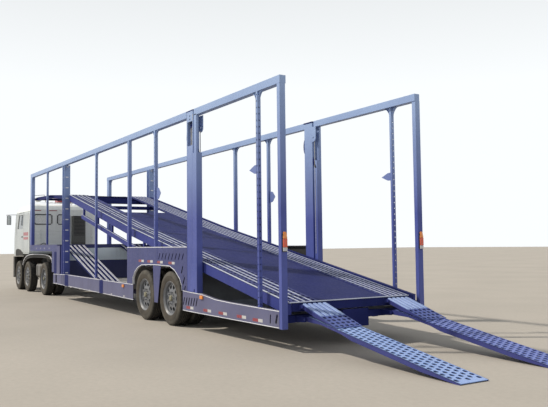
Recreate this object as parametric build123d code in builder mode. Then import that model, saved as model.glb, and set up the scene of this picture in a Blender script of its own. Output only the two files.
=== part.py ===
from build123d import *
import math
import os

# Car transporter lorry: a cab-over tractor with two steered axles and one drive axle, coupled to a
# two-level car-carrying semi-trailer. The upper deck is lowered at the rear and both loading ramps
# are down. Millimetres, +X forward, +Y to the driver's left, +Z up, ground at z = 0.
# Lengths along the lorry are measured from the rear face of the trailer's rear posts (x = 0) and the
# base planes below move that datum so that the origin is the middle of the whole lorry on the ground.

# ---------------------------------------------------------------- driving sizes
X_MID = 8130                 # datum to origin, along the lorry
HALF_W = 1375                # half width of the trailer
DRAWN_HALF_W = 1275          # half width on which the trailer's and the deck's pieces are drawn
RAIL_TOP = 4000              # legal height, top of the cage rails
TYRE_R = 525
TYRE_W = 280
DUAL_GAP = 40                # air gap between twin tyres
WHEEL_Y = 1245               # outer face of the tractor's outer tyres
TRAILER_WHEEL_Y = 1345       # the same on the trailer
AX_TR_REAR, AX_TR_FRONT = 4105, 5428         # trailer tandem
AX_DRIVE, AX_SECOND, AX_FRONT = 14500, 16800, 18250
KINGPIN_X = 14600
STEER_Y = 905                # steering axis off the centre line
DECK_HINGE_X, DECK_HINGE_Z = 11600, 2900
DECK_REAR_X, DECK_REAR_Z = 20, 700           # top edge at the rear of the upper deck
DECK_FRONT_X, DECK_FRONT_Z = 11480, 3035     # top edge at its front
DECK_BEND_X, DECK_BEND_Z = 6600, 1982        # slight bend of the deck between its two beams
DECK_HALF = 1150
RAMP_HALF_W = 222
RAMP_Y = 810
RAMP_HINGE_X, RAMP_HINGE_Z = -100, 455
RAMP_TOP_Z = 514             # ramp surface above its hinge
RAMP_FOOT_X = -3000
FLAP_HINGE_X, FLAP_HINGE_Z = -18, 640
FLAP_KINK_X, FLAP_KINK_Z = -443, 526
FLAP_END_X, FLAP_END_Z = -810, 406
CAB_REAR, CAB_FRONT = 16750, 19180
CAB_HALF = 1200
CAB_FLOOR = 1300
TRAILER_FRONT = 15760

# widths across the trailer are spread by this factor in the helpers below; it is 1 for ramps and tractor
spread = HALF_W / DRAWN_HALF_W

# base planes, all through the datum
SIDE = Plane(origin=(-X_MID, 0, 0), x_dir=(1, 0, 0), z_dir=(0, -1, 0))      # local (x, z), normal -Y
TOP = Plane(origin=(-X_MID, 0, 0), x_dir=(1, 0, 0), z_dir=(0, 0, 1))        # local (x, y)


def across(x):
    # plane across the lorry at x: local (y, z), normal +X
    return Plane(origin=(x - X_MID, 0, 0), x_dir=(0, 1, 0), z_dir=(1, 0, 0))


def bars(rows, mode=Mode.ADD):
    # rows of (x0, x1, y0, y1, z0, z1): square-cut members, added to the current part
    for x0, x1, y0, y1, z0, z1 in rows:
        with Locations(((x0 + x1) / 2 - X_MID, (y0 + y1) / 2 * spread, (z0 + z1) / 2)):
            Box(x1 - x0, (y1 - y0) * spread, z1 - z0, mode=mode)


def side_plate(points, y0, y1, mode=Mode.ADD):
    # a profile of (x, z) points, as thick as from y0 to y1
    with BuildSketch(SIDE.offset(-y1 * spread)) as sk:
        with BuildLine():
            Polyline(*points, close=True)
        make_face()
    extrude(sk.sketch, amount=(y1 - y0) * spread, mode=mode)


def cross_plate(points, x0, x1, mode=Mode.ADD):
    # a profile of (y, z) points, as long as from x0 to x1
    with BuildSketch(across(x0)) as sk:
        with BuildLine():
            Polyline(*points, close=True)
        make_face()
    extrude(sk.sketch, amount=x1 - x0, mode=mode)


def rod(x, z, y0, y1, r, mode=Mode.ADD):
    # a round bar along Y
    with BuildSketch(SIDE.offset(-y1 * spread)) as sk:
        with Locations((x, z)):
            Circle(r)
    extrude(sk.sketch, amount=(y1 - y0) * spread, mode=mode)


def deck_z(x):
    # height of the upper deck's top edge
    if x >= DECK_BEND_X:
        t = (x - DECK_BEND_X) / (DECK_FRONT_X - DECK_BEND_X)
        return DECK_BEND_Z + t * (DECK_FRONT_Z - DECK_BEND_Z)
    t = (x - DECK_REAR_X) / (DECK_BEND_X - DECK_REAR_X)
    return DECK_REAR_Z + t * (DECK_BEND_Z - DECK_REAR_Z)


def deck_strip(x0, x1, top, bottom):
    # side profile that follows the deck between x0 and x1, from top to bottom below its edge
    xs = [x0] + ([DECK_BEND_X] if x0 < DECK_BEND_X < x1 else []) + [x1]
    return [(x, deck_z(x) - top) for x in xs] + [(x, deck_z(x) - bottom) for x in reversed(xs)]


finished = {}

# ================================================================ trailer
# gooseneck: side channels, top plate, coupler plate with the kingpin, and the legs down to the well
GN_Z0, GN_Z1 = 1415, 1610
with BuildPart() as gooseneck:
    bars([
        (12300, TRAILER_FRONT, 1215, 1275, GN_Z0, GN_Z1),
        (12300, TRAILER_FRONT, -1275, -1215, GN_Z0, GN_Z1),
        (TRAILER_FRONT - 60, TRAILER_FRONT, -1275, 1275, GN_Z0, GN_Z1),
        (12300, 12420, -1275, 1275, 500, GN_Z1),          # rear face of the gooseneck, down to the well
        (12300, TRAILER_FRONT, -1275, 1275, GN_Z1 - 12, GN_Z1),   # top plate
        (12300, 12860, 1120, 1275, 790, GN_Z1),           # corner legs
        (12300, 12860, -1275, -1120, 790, GN_Z1),
        (11960, 12320, 1120, 1275, 742, 1540),            # and the lower blocks behind them
        (11960, 12320, -1275, -1120, 742, 1540),
        (12300, TRAILER_FRONT, 400, 480, 1325, GN_Z1),    # inner beams
        (12300, TRAILER_FRONT, -480, -400, 1325, GN_Z1),
        (13700, 15700, -480, 480, 1262, 1325),            # coupler plate
    ])
    for x in (12900, 13500, 14100, 15200):
        bars([(x, x + 60, -1215, 1215, GN_Z0, GN_Z1 - 12)])
    with BuildSketch(TOP.offset(1165)) as s:
        with Locations((KINGPIN_X, 0)):
            Circle(25)
    extrude(s.sketch, amount=100)

# main frame: two stepped beams, pierced by cross members that reach out to the skirts
CROSS = [(x, 1215, 400, 490) for x in (700, 1500, 2300)] + [(x, 570, 880, 960) for x in (3700, 4700, 5700)] + \
        [(x, 1215, 440, 530) for x in (6900, 7900, 8900, 9900, 10900, 11900)]       # x, half length, z0, z1
with BuildPart() as frame_cross_members:
    bars([(x, x + 80, -half, half, z0, z1) for x, half, z0, z1 in CROSS])
with BuildPart() as main_frame:
    beam = [(260, 370), (3300, 370), (3500, 800), (6050, 800), (6500, 420), (12300, 420), (12300, 560),
            (6600, 560), (6200, 1000), (3350, 1000), (3120, 500), (260, 500)]
    side_plate(beam, 470, 570)
    side_plate(beam, -570, -470)
    add(frame_cross_members.part, mode=Mode.SUBTRACT)

# lower deck plates: rear floor, box over the tandem and well floor, one bent plate
with BuildPart() as lower_deck:
    plate = [(265, 500), (3084, 500), (3384, 1095), (6130, 1095), (6640, 565), (12290, 565), (12290, 573),
             (6644, 573), (6134, 1103), (3379, 1103), (3079, 508), (265, 508)]
    side_plate(plate, -1110, 1110)

# side skirts, in C section: a front one in the well and a rear one behind the tandem, on each side
SKIRTS = [  # profile outside, profile of the recess inside
    ([(5980, 380), (12700, 462), (12700, 742), (11080, 764), (8100, 732), (5980, 718)],
     [(5970, 392), (12710, 474), (12710, 730), (11080, 752), (8100, 720), (5970, 706)]),
    ([(85, 335), (3200, 345), (3400, 350), (3400, 714), (3090, 700), (2630, 690), (2100, 630), (1600, 612),
      (85, 585)],
     [(75, 347), (3200, 357), (3410, 362), (3410, 702), (3090, 688), (2630, 678), (2100, 618), (1600, 600),
      (75, 573)]),
]
with BuildPart() as side_skirts:
    for side in (1, -1):
        for outside, recess in SKIRTS:
            y_out, y_in, y_skin = side * 1275, side * 1220, side * 1267
            side_plate(outside, min(y_out, y_in), max(y_out, y_in))
            side_plate(recess, min(y_skin, y_in), max(y_skin, y_in), mode=Mode.SUBTRACT)

# fender panels over the tandem wheels
FENDER = [(3430, 716), (3400, 716), (3210, 708), (3210, 1515), (6350, 1515), (6350, 725), (6000, 725), (5990, 850),
          (5880, 985), (5710, 1085), (5470, 1150), (4850, 1165), (4775, 410), (4605, 410), (4440, 1165),
          (4000, 1155), (3760, 1080), (3530, 930), (3440, 815)]
with BuildPart() as fender_panels:
    for side in (1, -1):
        side_plate(FENDER, min(side * 1267, side * 1275), max(side * 1267, side * 1275))
        bars([(3210, 6350, min(side * 1210, side * 1275), max(side * 1210, side * 1275), 1507, 1515)])

# cage of the front part: top rail and posts
FRONT_POSTS = [  # x0, x1, width across, foot height
    (15560, TRAILER_FRONT, 95, GN_Z1), (13520, 13580, 50, GN_Z1), (11545, 11745, 160, 440),
    (8610, 8670, 50, 760), (6260, 6330, 70, 1515), (4730, 4790, 60, 1515)]
front_cage = {}
for tag, side in (("left", 1), ("right", -1)):
    with BuildPart() as cage:
        bars([(3210, TRAILER_FRONT, *sorted((side * 1175, side * 1275)), 3880, 4000)])
        for x0, x1, w, z0 in FRONT_POSTS:
            bars([(x0, x1, *sorted((side * (1275 - w), side * 1275)), z0, 3880)])
        rod(DECK_HINGE_X, DECK_HINGE_Z, *sorted((side * 1100, side * 1205)), 28.5, mode=Mode.SUBTRACT)
    front_cage[tag] = cage

# hoist pillar and cage of the rear part
REAR_POSTS = [(635, 690, 55, 590), (0, 80, 90, 325)]
rear_cage = {}
for tag, side in (("left", 1), ("right", -1)):
    with BuildPart() as cage:
        bars([
            (2925, 3200, *sorted((side * 1160, side * 1275)), 705, 4000),      # hoist column
            (2795, 2895, *sorted((side * 1170, side * 1275)), 690, 3200),      # rear cage's front post
            (2795, 2895, *sorted((side * 1233, side * 1275)), 3200, 4000),     # its thinner upper part
            (2890, 2930, *sorted((side * 1235, side * 1275)), 760, 3200),      # web between them
            (0, 2895, *sorted((side * 1175, side * 1275)), 3880, 4000),        # rear rail
        ])
        bars([(2960, 3170, *sorted((side * 1200, side * 1280)), 3220, 3790)], Mode.SUBTRACT)    # chain slot
        for x0, x1, w, z0 in REAR_POSTS:
            bars([(x0, x1, *sorted((side * (1275 - w), side * 1275)), z0, 3880)])
    rear_cage[tag] = cage

# slatted wheel tracks from the gooseneck down into the well
with BuildPart() as well_tracks:
    for side in (1, -1):
        for k in range(5):
            y = side * (560 + k * 120)
            side_plate([(12290, 1580), (12290, 1520), (9150, 582), (9020, 582), (9020, 600)], y - 22, y + 22)
        for x, z in ((12200, 1472), (10700, 1024), (9300, 605)):
            bars([(x, x + 50, *sorted((side * 538, side * 1062)), z, z + 40)])

# rear beam below the deck, with the ramp hinge brackets and the centre box
with BuildPart() as rear_crossbeam:
    bars([
        (130, 260, -1180, 1180, 395, 500),
        (60, 262, -232, 232, 270, 540),
    ])
    for side in (1, -1):
        for y in (RAMP_Y - 260, RAMP_Y + 235):
            y0, y1 = sorted((side * y / spread, side * (y + 25) / spread))
            side_plate([(180, 400), (-120, 420), (-137, 460), (-120, 492), (-80, 492), (180, 497)], y0, y1)
            rod(RAMP_HINGE_X, RAMP_HINGE_Z, y0, y1, 22.5, mode=Mode.SUBTRACT)

# tandem axles with springs, hangers and brake drums
with BuildPart() as trailer_axles:
    for x in (AX_TR_REAR, AX_TR_FRONT):
        rod(x, TYRE_R, -640, 640, 63)
        for side in (1, -1):
            bars([(x - 520, x + 520, *sorted((side * 480, side * 560)), 600, 655),
                  (x - 60, x + 60, *sorted((side * 470, side * 570)), 560, 610),
                  (x - 560, x - 460, *sorted((side * 475, side * 565)), 640, 800),
                  (x + 460, x + 560, *sorted((side * 475, side * 565)), 640, 800)])

# parking legs, wound up
with BuildPart() as landing_legs:
    for side in (1, -1):
        bars([(12480, 12620, *sorted((side * 700, side * 840)), 600, GN_Z1 - 12),
              (12500, 12600, *sorted((side * 720, side * 820)), 380, 600),
              (12450, 12650, *sorted((side * 680, side * 860)), 350, 380)])
    bars([(12520, 12580, -700, 700, 900, 960)])

# tall lamps on the rear posts
with BuildPart() as rear_lamps:
    for side in (1, -1):
        bars([(-38, -1, *sorted((side * 1195, side * 1265)), 1430, 1720)])

# fixed front deck above the gooseneck
with BuildPart() as front_deck:
    FD = [(11660, 3032), (13800, 3175), (15690, 3215), (15690, 3115), (13800, 3065), (11660, 2922)]
    FD_P = [(11660, 3027), (13800, 3170), (15690, 3210), (15690, 3202), (13800, 3162), (11660, 3019)]
    for side in (1, -1):
        side_plate(FD, *sorted((side * 1060, side * 1115)))
        side_plate(FD, *sorted((side * 440, side * 470)))
    side_plate(FD_P, -1060, 1060)
    for x, z in ((11700, 2950), (12700, 3010), (13520, 3070), (15590, 3125)):
        bars([(x, x + 60, -1115, 1115, z, z + 60)])
    for side in (1, -1):      # arms that carry it on the ladder posts, the thin posts and the front posts
        bars([(11660, 11695, *sorted((side * 1100, side * 1118)), 2945, 3010),
              (13520, 13580, *sorted((side * 1100, side * 1228)), 3075, 3135),
              (15590, 15680, *sorted((side * 1100, side * 1183)), 3125, 3185)])

# ================================================================ upper deck
with BuildPart() as deck_frame:          # outer girders and inner stringers, each a strip along the deck
    for side in (1, -1):
        side_plate(deck_strip(60, 11440, 20, 190), *sorted((side * 1095, side * DECK_HALF)))
        side_plate(deck_strip(135, 11365, 20, 58), *sorted((side * 560, side * 600)))
        # hinge ears at the front, with the hinge pin, and ears for the ramp flaps at the rear
        side_plate([(11340, 2925), (11460, 2945), (11640, 2940), (11640, 2860), (11400, 2800), (11340, 2830)],
                   *sorted((side * 1070, side * 1100)))
        rod(DECK_HINGE_X, DECK_HINGE_Z, *sorted((side * 1070, side * 1200)), 28)
        for y in (RAMP_Y - 250, RAMP_Y + 230):
            y0, y1 = sorted((side * y / spread, side * (y + 20) / spread))
            side_plate([(130, 565), (130, 648), (-42, 661), (-44, 619)], y0, y1)
            rod(FLAP_HINGE_X, FLAP_HINGE_Z, y0, y1, 14.5, mode=Mode.SUBTRACT)
    bars([(60, 130, -1095, 1095, 560, 650)])           # rear cross member, which carries those ears

with BuildPart() as deck_cross_members:
    for x in (900, 1900, 2900, 3900, 4900, 5900, 6900, 7900, 8900, 9900, 10900, 11260):
        z = deck_z(x)
        bars([(x, x + 70, -1095, 1095, z - 150, z - 60)])

with BuildPart() as deck_lower_chords:   # a light chord under each girder, on short posts
    for side in (1, -1):
        side_plate(deck_strip(4700, 10300, 370, 480), *sorted((side * 1095, side * DECK_HALF)))
        for x in (4760, 5700, 6700, 7800, 8900, 10100):
            side_plate(deck_strip(x, x + 60, 190, 380), *sorted((side * 1100, side * 1145)))

with BuildPart() as deck_plates:         # wheel track on each side and the plate between them
    for side in (1, -1):
        side_plate(deck_strip(40, DECK_FRONT_X, 0, 18), *sorted((side * 610, side * 1085)))
    side_plate(deck_strip(40, 8600, 12, 19), -550, 550)

# ================================================================ ramps
spread = 1
ramp_slope = (RAMP_TOP_Z - 18) / (RAMP_HINGE_X - RAMP_FOOT_X)


def ramp_z(x):
    # height of the ramp's surface
    return 18 + (x - RAMP_FOOT_X) * ramp_slope


ramps, flaps = {}, {}
for tag, side in (("left", 1), ("right", -1)):
    yc = side * RAMP_Y
    with BuildPart() as ramp:
        # side flanges, tapering to the foot
        for y in (yc - RAMP_HALF_W, yc + RAMP_HALF_W - 12):
            side_plate([(RAMP_HINGE_X - 60, ramp_z(RAMP_HINGE_X - 60)), (RAMP_HINGE_X + 5, 488),
                        (RAMP_HINGE_X + 30, RAMP_HINGE_Z), (RAMP_HINGE_X, 426), (-500, ramp_z(-500) - 78),
                        (-2400, ramp_z(-2400) - 64), (-2920, 0), (RAMP_FOOT_X, 0), (RAMP_FOOT_X, 18)], y, y + 12)
        side_plate([(RAMP_HINGE_X - 60, ramp_z(RAMP_HINGE_X - 60)), (RAMP_FOOT_X, 18), (RAMP_FOOT_X, 10),
                    (RAMP_HINGE_X - 60, ramp_z(RAMP_HINGE_X - 60) - 8)], yc - RAMP_HALF_W, yc + RAMP_HALF_W)
        rod(RAMP_HINGE_X, RAMP_HINGE_Z, yc - RAMP_HALF_W - 33, yc + RAMP_HALF_W + 33, 22)
        for x in (-600, -1300, -2000):
            z = ramp_z(x) - 55
            bars([(x, x + 40, yc - RAMP_HALF_W + 6, yc + RAMP_HALF_W - 6, z, z + 50)])
    ramps[tag] = ramp
    with BuildPart() as flap:
        for y in (yc - RAMP_HALF_W, yc + RAMP_HALF_W - 10):
            side_plate([(FLAP_HINGE_X + 14, 656), (FLAP_HINGE_X + 14, 620), (-300, 534), (FLAP_END_X, FLAP_END_Z - 11),
                        (FLAP_END_X, FLAP_END_Z), (FLAP_KINK_X, FLAP_KINK_Z)], y, y + 10)
        side_plate([(FLAP_HINGE_X - 10, 657), (FLAP_KINK_X, FLAP_KINK_Z), (FLAP_END_X, FLAP_END_Z),
                    (FLAP_END_X, FLAP_END_Z - 8), (FLAP_KINK_X, FLAP_KINK_Z - 8), (FLAP_HINGE_X - 10, 649)],
                   yc - RAMP_HALF_W, yc + RAMP_HALF_W)
        rod(FLAP_HINGE_X, FLAP_HINGE_Z, yc - RAMP_HALF_W - 24, yc + RAMP_HALF_W + 24, 14)
    flaps[tag] = flap

# ================================================================ wheels
def wheel(x, y_out, side, dual):
    # tyre section revolved about the axle, plus a dished disc rim and hub
    with BuildPart() as w:
        tyres = [0, TYRE_W + DUAL_GAP] if dual else [0]
        for inward in tyres:
            ya = y_out - inward - TYRE_W
            with BuildSketch(Plane(origin=(x - X_MID, 0, TYRE_R), x_dir=(0, 0, 1), z_dir=(1, 0, 0))) as sk:
                # local x = up from the axle, local y = -Y; drawn for the left side, mirrored for the right
                with BuildLine():
                    Polyline((286, -ya - 30), (500, -ya - 4), (TYRE_R, -ya - 40), (TYRE_R, -ya - TYRE_W + 40),
                             (500, -ya - TYRE_W + 4), (286, -ya - TYRE_W + 30), close=True)
                make_face()
            revolve(sk.sketch, axis=Axis((x - X_MID, 0, TYRE_R), (0, 1, 0)))
        ya = y_out - TYRE_W
        depth = y_out - (tyres[-1] + TYRE_W)
        with BuildSketch(Plane(origin=(x - X_MID, 0, TYRE_R), x_dir=(0, 0, 1), z_dir=(1, 0, 0))) as sk:
            with BuildLine():
                dish = 130 if dual else 40
                Polyline((286, -y_out + 30), (270, -y_out + 30), (255, -y_out + dish), (170, -y_out + dish),
                         (150, -y_out + dish - 30), (110, -y_out + dish - 30), (100, -y_out + 12), (45, -y_out + 12),
                         (45, -y_out + dish + 150), (140, -y_out + dish + 150), (140, -y_out + dish + 14),
                         (262, -y_out + dish + 14), (262, -depth - 30), (286, -depth - 30), close=True)
            make_face()
        revolve(sk.sketch, axis=Axis((x - X_MID, 0, TYRE_R), (0, 1, 0)))
        if side < 0:
            mirror(about=Plane.XZ, mode=Mode.REPLACE)
    return w


WHEELS = [  # name, x, twin tyres
    ("trailer_wheel_rear", AX_TR_REAR, True), ("trailer_wheel_front", AX_TR_FRONT, True),
    ("drive_wheel", AX_DRIVE, True), ("second_steer_wheel", AX_SECOND, False),
    ("front_steer_wheel", AX_FRONT, False)]
for name, x, dual in WHEELS:
    for tag, side in (("left", 1), ("right", -1)):
        y_out = TRAILER_WHEEL_Y if name.startswith("trailer") else WHEEL_Y
        finished[f"{name}_{tag}"] = wheel(x, y_out, side, dual)

# ================================================================ tractor
with BuildPart() as chassis_frame:       # the two rails with the posts that carry the cab
    for side in (1, -1):
        bars([(13650, 18950, *sorted((side * 380, side * 450)), 720, 970),
              (18500, 18600, *sorted((side * 400, side * 450)), 970, CAB_FLOOR - 6),
              (17000, 17100, *sorted((side * 400, side * 450)), 970, CAB_FLOOR - 6)])

with BuildPart() as chassis_cross_members:
    bars([(x, x + 80, -380, 380, 760, 930) for x in (13650, 15300, 16200, 17200, 18850)])

STEER_PIN = 25
with BuildPart() as front_axles:         # beams ending in an eye round each steering pin
    for x in (AX_SECOND, AX_FRONT):
        bars([(x - 45, x + 45, -860, 860, 470, 570)])
        for side in (1, -1):
            with BuildSketch(TOP.offset(470)) as sk:
                with Locations((x, side * STEER_Y)):
                    Circle(50)
            extrude(sk.sketch, amount=100)
            with BuildSketch(TOP.offset(460)) as sk:
                with Locations((x, side * STEER_Y)):
                    Circle(STEER_PIN + 0.5)
            extrude(sk.sketch, amount=120, mode=Mode.SUBTRACT)
            bars([(x - 560, x + 560, *sorted((side * 385, side * 445)), 570, 615),
                  (x - 600, x - 500, *sorted((side * 385, side * 445)), 600, 718),
                  (x + 500, x + 600, *sorted((side * 385, side * 445)), 600, 718)])

with BuildPart() as drive_axle:
    rod(AX_DRIVE, TYRE_R, -600, 600, 80)
    with Locations((AX_DRIVE - X_MID, 0, TYRE_R)):
        Sphere(230)
    for side in (1, -1):
        bars([(AX_DRIVE - 600, AX_DRIVE + 600, *sorted((side * 390, side * 445)), 610, 665),
              (AX_DRIVE - 50, AX_DRIVE + 50, *sorted((side * 385, side * 450)), 560, 620),
              (AX_DRIVE - 620, AX_DRIVE - 540, *sorted((side * 390, side * 445)), 650, 718),
              (AX_DRIVE + 540, AX_DRIVE + 620, *sorted((side * 390, side * 445)), 650, 718)])
    rod(AX_DRIVE, TYRE_R, -10, 10, 60)

knuckles = {}
for name, x in (("front_knuckle", AX_FRONT), ("second_knuckle", AX_SECOND)):
    for tag, side in (("left", 1), ("right", -1)):
        with BuildPart() as k:
            # a fork round the axle's eye with its steering pin, the stub axle and the steering arm
            with BuildSketch(TOP.offset(410)) as sk:
                with Locations((x, side * STEER_Y)):
                    Circle(50)
            extrude(sk.sketch, amount=54)
            with BuildSketch(TOP.offset(576)) as sk:
                with Locations((x, side * STEER_Y)):
                    Circle(50)
            extrude(sk.sketch, amount=54)
            with BuildSketch(TOP.offset(440)) as sk:
                with Locations((x, side * STEER_Y)):
                    Circle(STEER_PIN)
            extrude(sk.sketch, amount=160)
            bars([(x - 45, x + 45, *sorted((side * 962, side * 995)), 410, 630),
                  (x - 40, x + 40, *sorted((side * 905, side * 965)), 410, 464),
                  (x - 40, x + 40, *sorted((side * 905, side * 965)), 576, 630),
                  (x - 220, x - 20, *sorted((side * 880, side * 910)), 414, 450)])
            rod(x, TYRE_R, *sorted((side * 990, side * 1035)), 42)
            rod(x, TYRE_R, *sorted((side * 1035, side * 1150)), 30)
        finished[f"{name}_{tag}"] = k

with BuildPart() as fifth_wheel:
    with BuildSketch(TOP.offset(1165)) as s:
        with BuildLine():
            Polyline((14080, -160), (14250, -430), (14900, -450), (15050, -300), (15050, 300), (14900, 450),
                     (14250, 430), (14080, 160), (14560, 60), (14560, -60), close=True)
        make_face()
        with Locations((KINGPIN_X, 0)):
            Circle(33, mode=Mode.SUBTRACT)
    extrude(s.sketch, amount=90)
    bars([(14450, 14750, -448, -380, 970, 1170), (14450, 14750, 380, 448, 970, 1170),
          (14300, 14900, -450, 450, 970, 1000)])

with BuildPart() as engine_block:
    bars([(17300, 18700, -330, 330, 640, 1230)])

with BuildPart() as fuel_tank:
    for side in (1, -1):
        with BuildSketch(across(15180)) as s:
            with Locations((side * 850, 760)):
                RectangleRounded(560, 460, 90)
        extrude(s.sketch, amount=720)
        bars([(15300, 15360, *sorted((side * 450, side * 580)), 760, 860),
              (15740, 15800, *sorted((side * 450, side * 580)), 760, 860)])

# mudguards: a long arch over the second and drive wheels on each side, on stays from the frame
GUARD = [(13700, 900), (13780, 1080), (14000, 1210), (14200, 1242), (17150, 1242), (17340, 1190), (17480, 1050),
         (17500, 900), (17508, 900), (17488, 1054), (17344, 1197), (17152, 1250), (14198, 1250), (13996, 1218),
         (13774, 1085), (13692, 900)]
with BuildPart() as mudguards:
    for side in (1, -1):
        side_plate(GUARD, *sorted((side * 620, side * 1265)))
        for x in (14120, 15700, 16600):
            bars([(x, x + 40, *sorted((side * 390, side * 700)), 1205, 1242),
                  (x, x + 40, *sorted((side * 390, side * 440)), 970, 1205)])

# ---------------------------------------------------------------- cab
CAB_SEAM = 2820                # lower edge of the roof panel
CAB_SIDE = [(CAB_REAR, CAB_FLOOR), (CAB_REAR, 2880), (16830, 3010), (17100, 3070), (17450, 3085), (18450, 3085),
            (18800, 3030), (18960, 2920), (19010, 2780), (CAB_FRONT - 20, 2000), (CAB_FRONT, 1900),
            (CAB_FRONT, CAB_FLOOR - 80), (18880, CAB_FLOOR - 80), (18880, CAB_FLOOR)]
CAB_SIDE_IN = [(CAB_REAR + 50, CAB_FLOOR + 50), (CAB_REAR + 50, 2866), (16864, 2970), (17106, 3020), (17455, 3034),
               (18440, 3034), (18780, 2982), (18912, 2892), (18957, 2770), (CAB_FRONT - 75, 1990),
               (CAB_FRONT - 60, 1890), (CAB_FRONT - 60, CAB_FLOOR + 50)]
CAB_SECT = [(-1200, 1000), (1200, 1000), (1200, 2200), (1180, 2760), (1120, 2940), (1020, 3040), (880, 3090),
            (-880, 3090), (-1020, 3040), (-1120, 2940), (-1180, 2760), (-1200, 2200)]
CAB_SECT_IN = [(-1150, 1100), (1150, 1100), (1150, 2196), (1131, 2745), (1076, 2912), (988, 2996), (866, 3038),
               (-866, 3038), (-988, 2996), (-1076, 2912), (-1131, 2745), (-1150, 2196)]
with BuildPart() as cab_inside:
    side_plate(CAB_SIDE_IN, -1250, 1250)
    cross_plate(CAB_SECT_IN, 16000, 20000, mode=Mode.INTERSECT)
with BuildPart() as cab_shell:
    side_plate(CAB_SIDE, -1250, 1250)
    cross_plate(CAB_SECT, 16000, 20000, mode=Mode.INTERSECT)
    add(cab_inside.part, mode=Mode.SUBTRACT)
    # windscreen
    with BuildSketch(across(18700)) as s:
        with Locations((0, 2360)):
            RectangleRounded(2020, 720, 90)
    extrude(s.sketch, amount=700, mode=Mode.SUBTRACT)
    # rear windows, beside the intake column
    with BuildSketch(across(16500)) as s:
        with Locations((715, 2522)):
            RectangleRounded(610, 355, 70)
        with Locations((0, 2522)):
            RectangleRounded(430, 355, 70)
    extrude(s.sketch, amount=400, mode=Mode.SUBTRACT)

DOOR = [(17680, 1360), (18812, 1360), (18840, 1600), (18800, 2080), (18558, 2790), (17680, 2790)]
DOOR_GAP = [(17668, 1350), (18820, 1350), (18849, 1600), (18808, 2083), (18564, 2800), (17668, 2800)]
SIDE_WINDOW = [(17760, 2220), (18640, 2220), (18470, 2720), (17760, 2720)]
doors = {}
for tag, side in (("left", 1), ("right", -1)):
    with BuildPart() as door:
        add(cab_shell.part)
        side_plate(DOOR, *sorted((side * 900, side * 1260)), mode=Mode.INTERSECT)
        side_plate(SIDE_WINDOW, *sorted((side * 900, side * 1260)), mode=Mode.SUBTRACT)
    doors[tag] = door

with BuildPart() as cab_body:
    add(cab_shell.part)
    for side in (1, -1):
        side_plate(DOOR_GAP, *sorted((side * 900, side * 1260)), mode=Mode.SUBTRACT)


def cab_cut(x0, x1, z0, z1):
    # the piece of the cab body inside a box, as wide as the cab
    with Locations(((x0 + x1) / 2 - X_MID, 0, (z0 + z1) / 2)):
        Box(x1 - x0, 2600, z1 - z0, mode=Mode.INTERSECT)


with BuildPart() as cab_floor:
    add(cab_body.part)
    cab_cut(16700, 18900, 1200, 1350)
with BuildPart() as cab_front:
    add(cab_body.part)
    cab_cut(18900, 19300, 1200, CAB_SEAM)
with BuildPart() as cab_rear_wall:
    add(cab_body.part)
    cab_cut(16700, 16801, 1350, CAB_SEAM)
with BuildPart() as cab_sides:
    add(cab_body.part)
    cab_cut(16801, 18900, 1350, CAB_SEAM)
with BuildPart() as cab_roof:
    add(cab_body.part)
    cab_cut(16700, 19300, CAB_SEAM, 3200)

with BuildPart() as front_bumper:
    with BuildSketch(TOP.offset(430)) as s:
        with BuildLine():
            Polyline((19200, -1150), (19230, 0), (19200, 1150), (19100, 1240), (18870, 1240), (18870, 1160),
                     (19060, 1160), (19120, 1100), (19140, 0), (19120, -1100), (19060, -1160), (18870, -1160),
                     (18870, -1240), (19100, -1240), close=True)
        make_face()
    extrude(s.sketch, amount=770)
    for side in (1, -1):
        bars([(18950, 19160, *sorted((side * 380, side * 450)), 730, 900)])
    bars([(19100, 19300, -110, 110, 400, 720)], Mode.SUBTRACT)     # opening round the towing jaw
    bars([(19040, 19110, -450, 450, 620, 780), (19060, 19260, -60, 60, 540, 621)])
    with BuildSketch(TOP.offset(540)) as s:
        with Locations((19212, 0)):
            Circle(21)
    extrude(s.sketch, amount=80, mode=Mode.SUBTRACT)

with BuildPart() as intake_column:
    bars([(16560, 16750, -740, -290, 1450, 2650)])

with BuildPart() as cab_interior:
    bars([(18700, 19060, -1100, 1100, 1700, 2020)])                # dashboard
    for side in (1, -1):
        bars([(17450, 17950, *sorted((side * 350, side * 850)), 1500, 1800),
              (17380, 17500, *sorted((side * 350, side * 850)), 1800, 2420),
              (17550, 17850, *sorted((side * 450, side * 750)), 1352, 1500)])
    bars([(16850, 17300, -1050, 1050, 1352, 1750)])                # bunk box

with BuildPart() as mirrors:
    for side in (1, -1):
        bars([(18978, 19002, *sorted((side * 1100, side * 1545)), 2750, 2774),
              (18960, 19030, *sorted((side * 1355, side * 1515)), 2385, 2750)])

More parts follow.
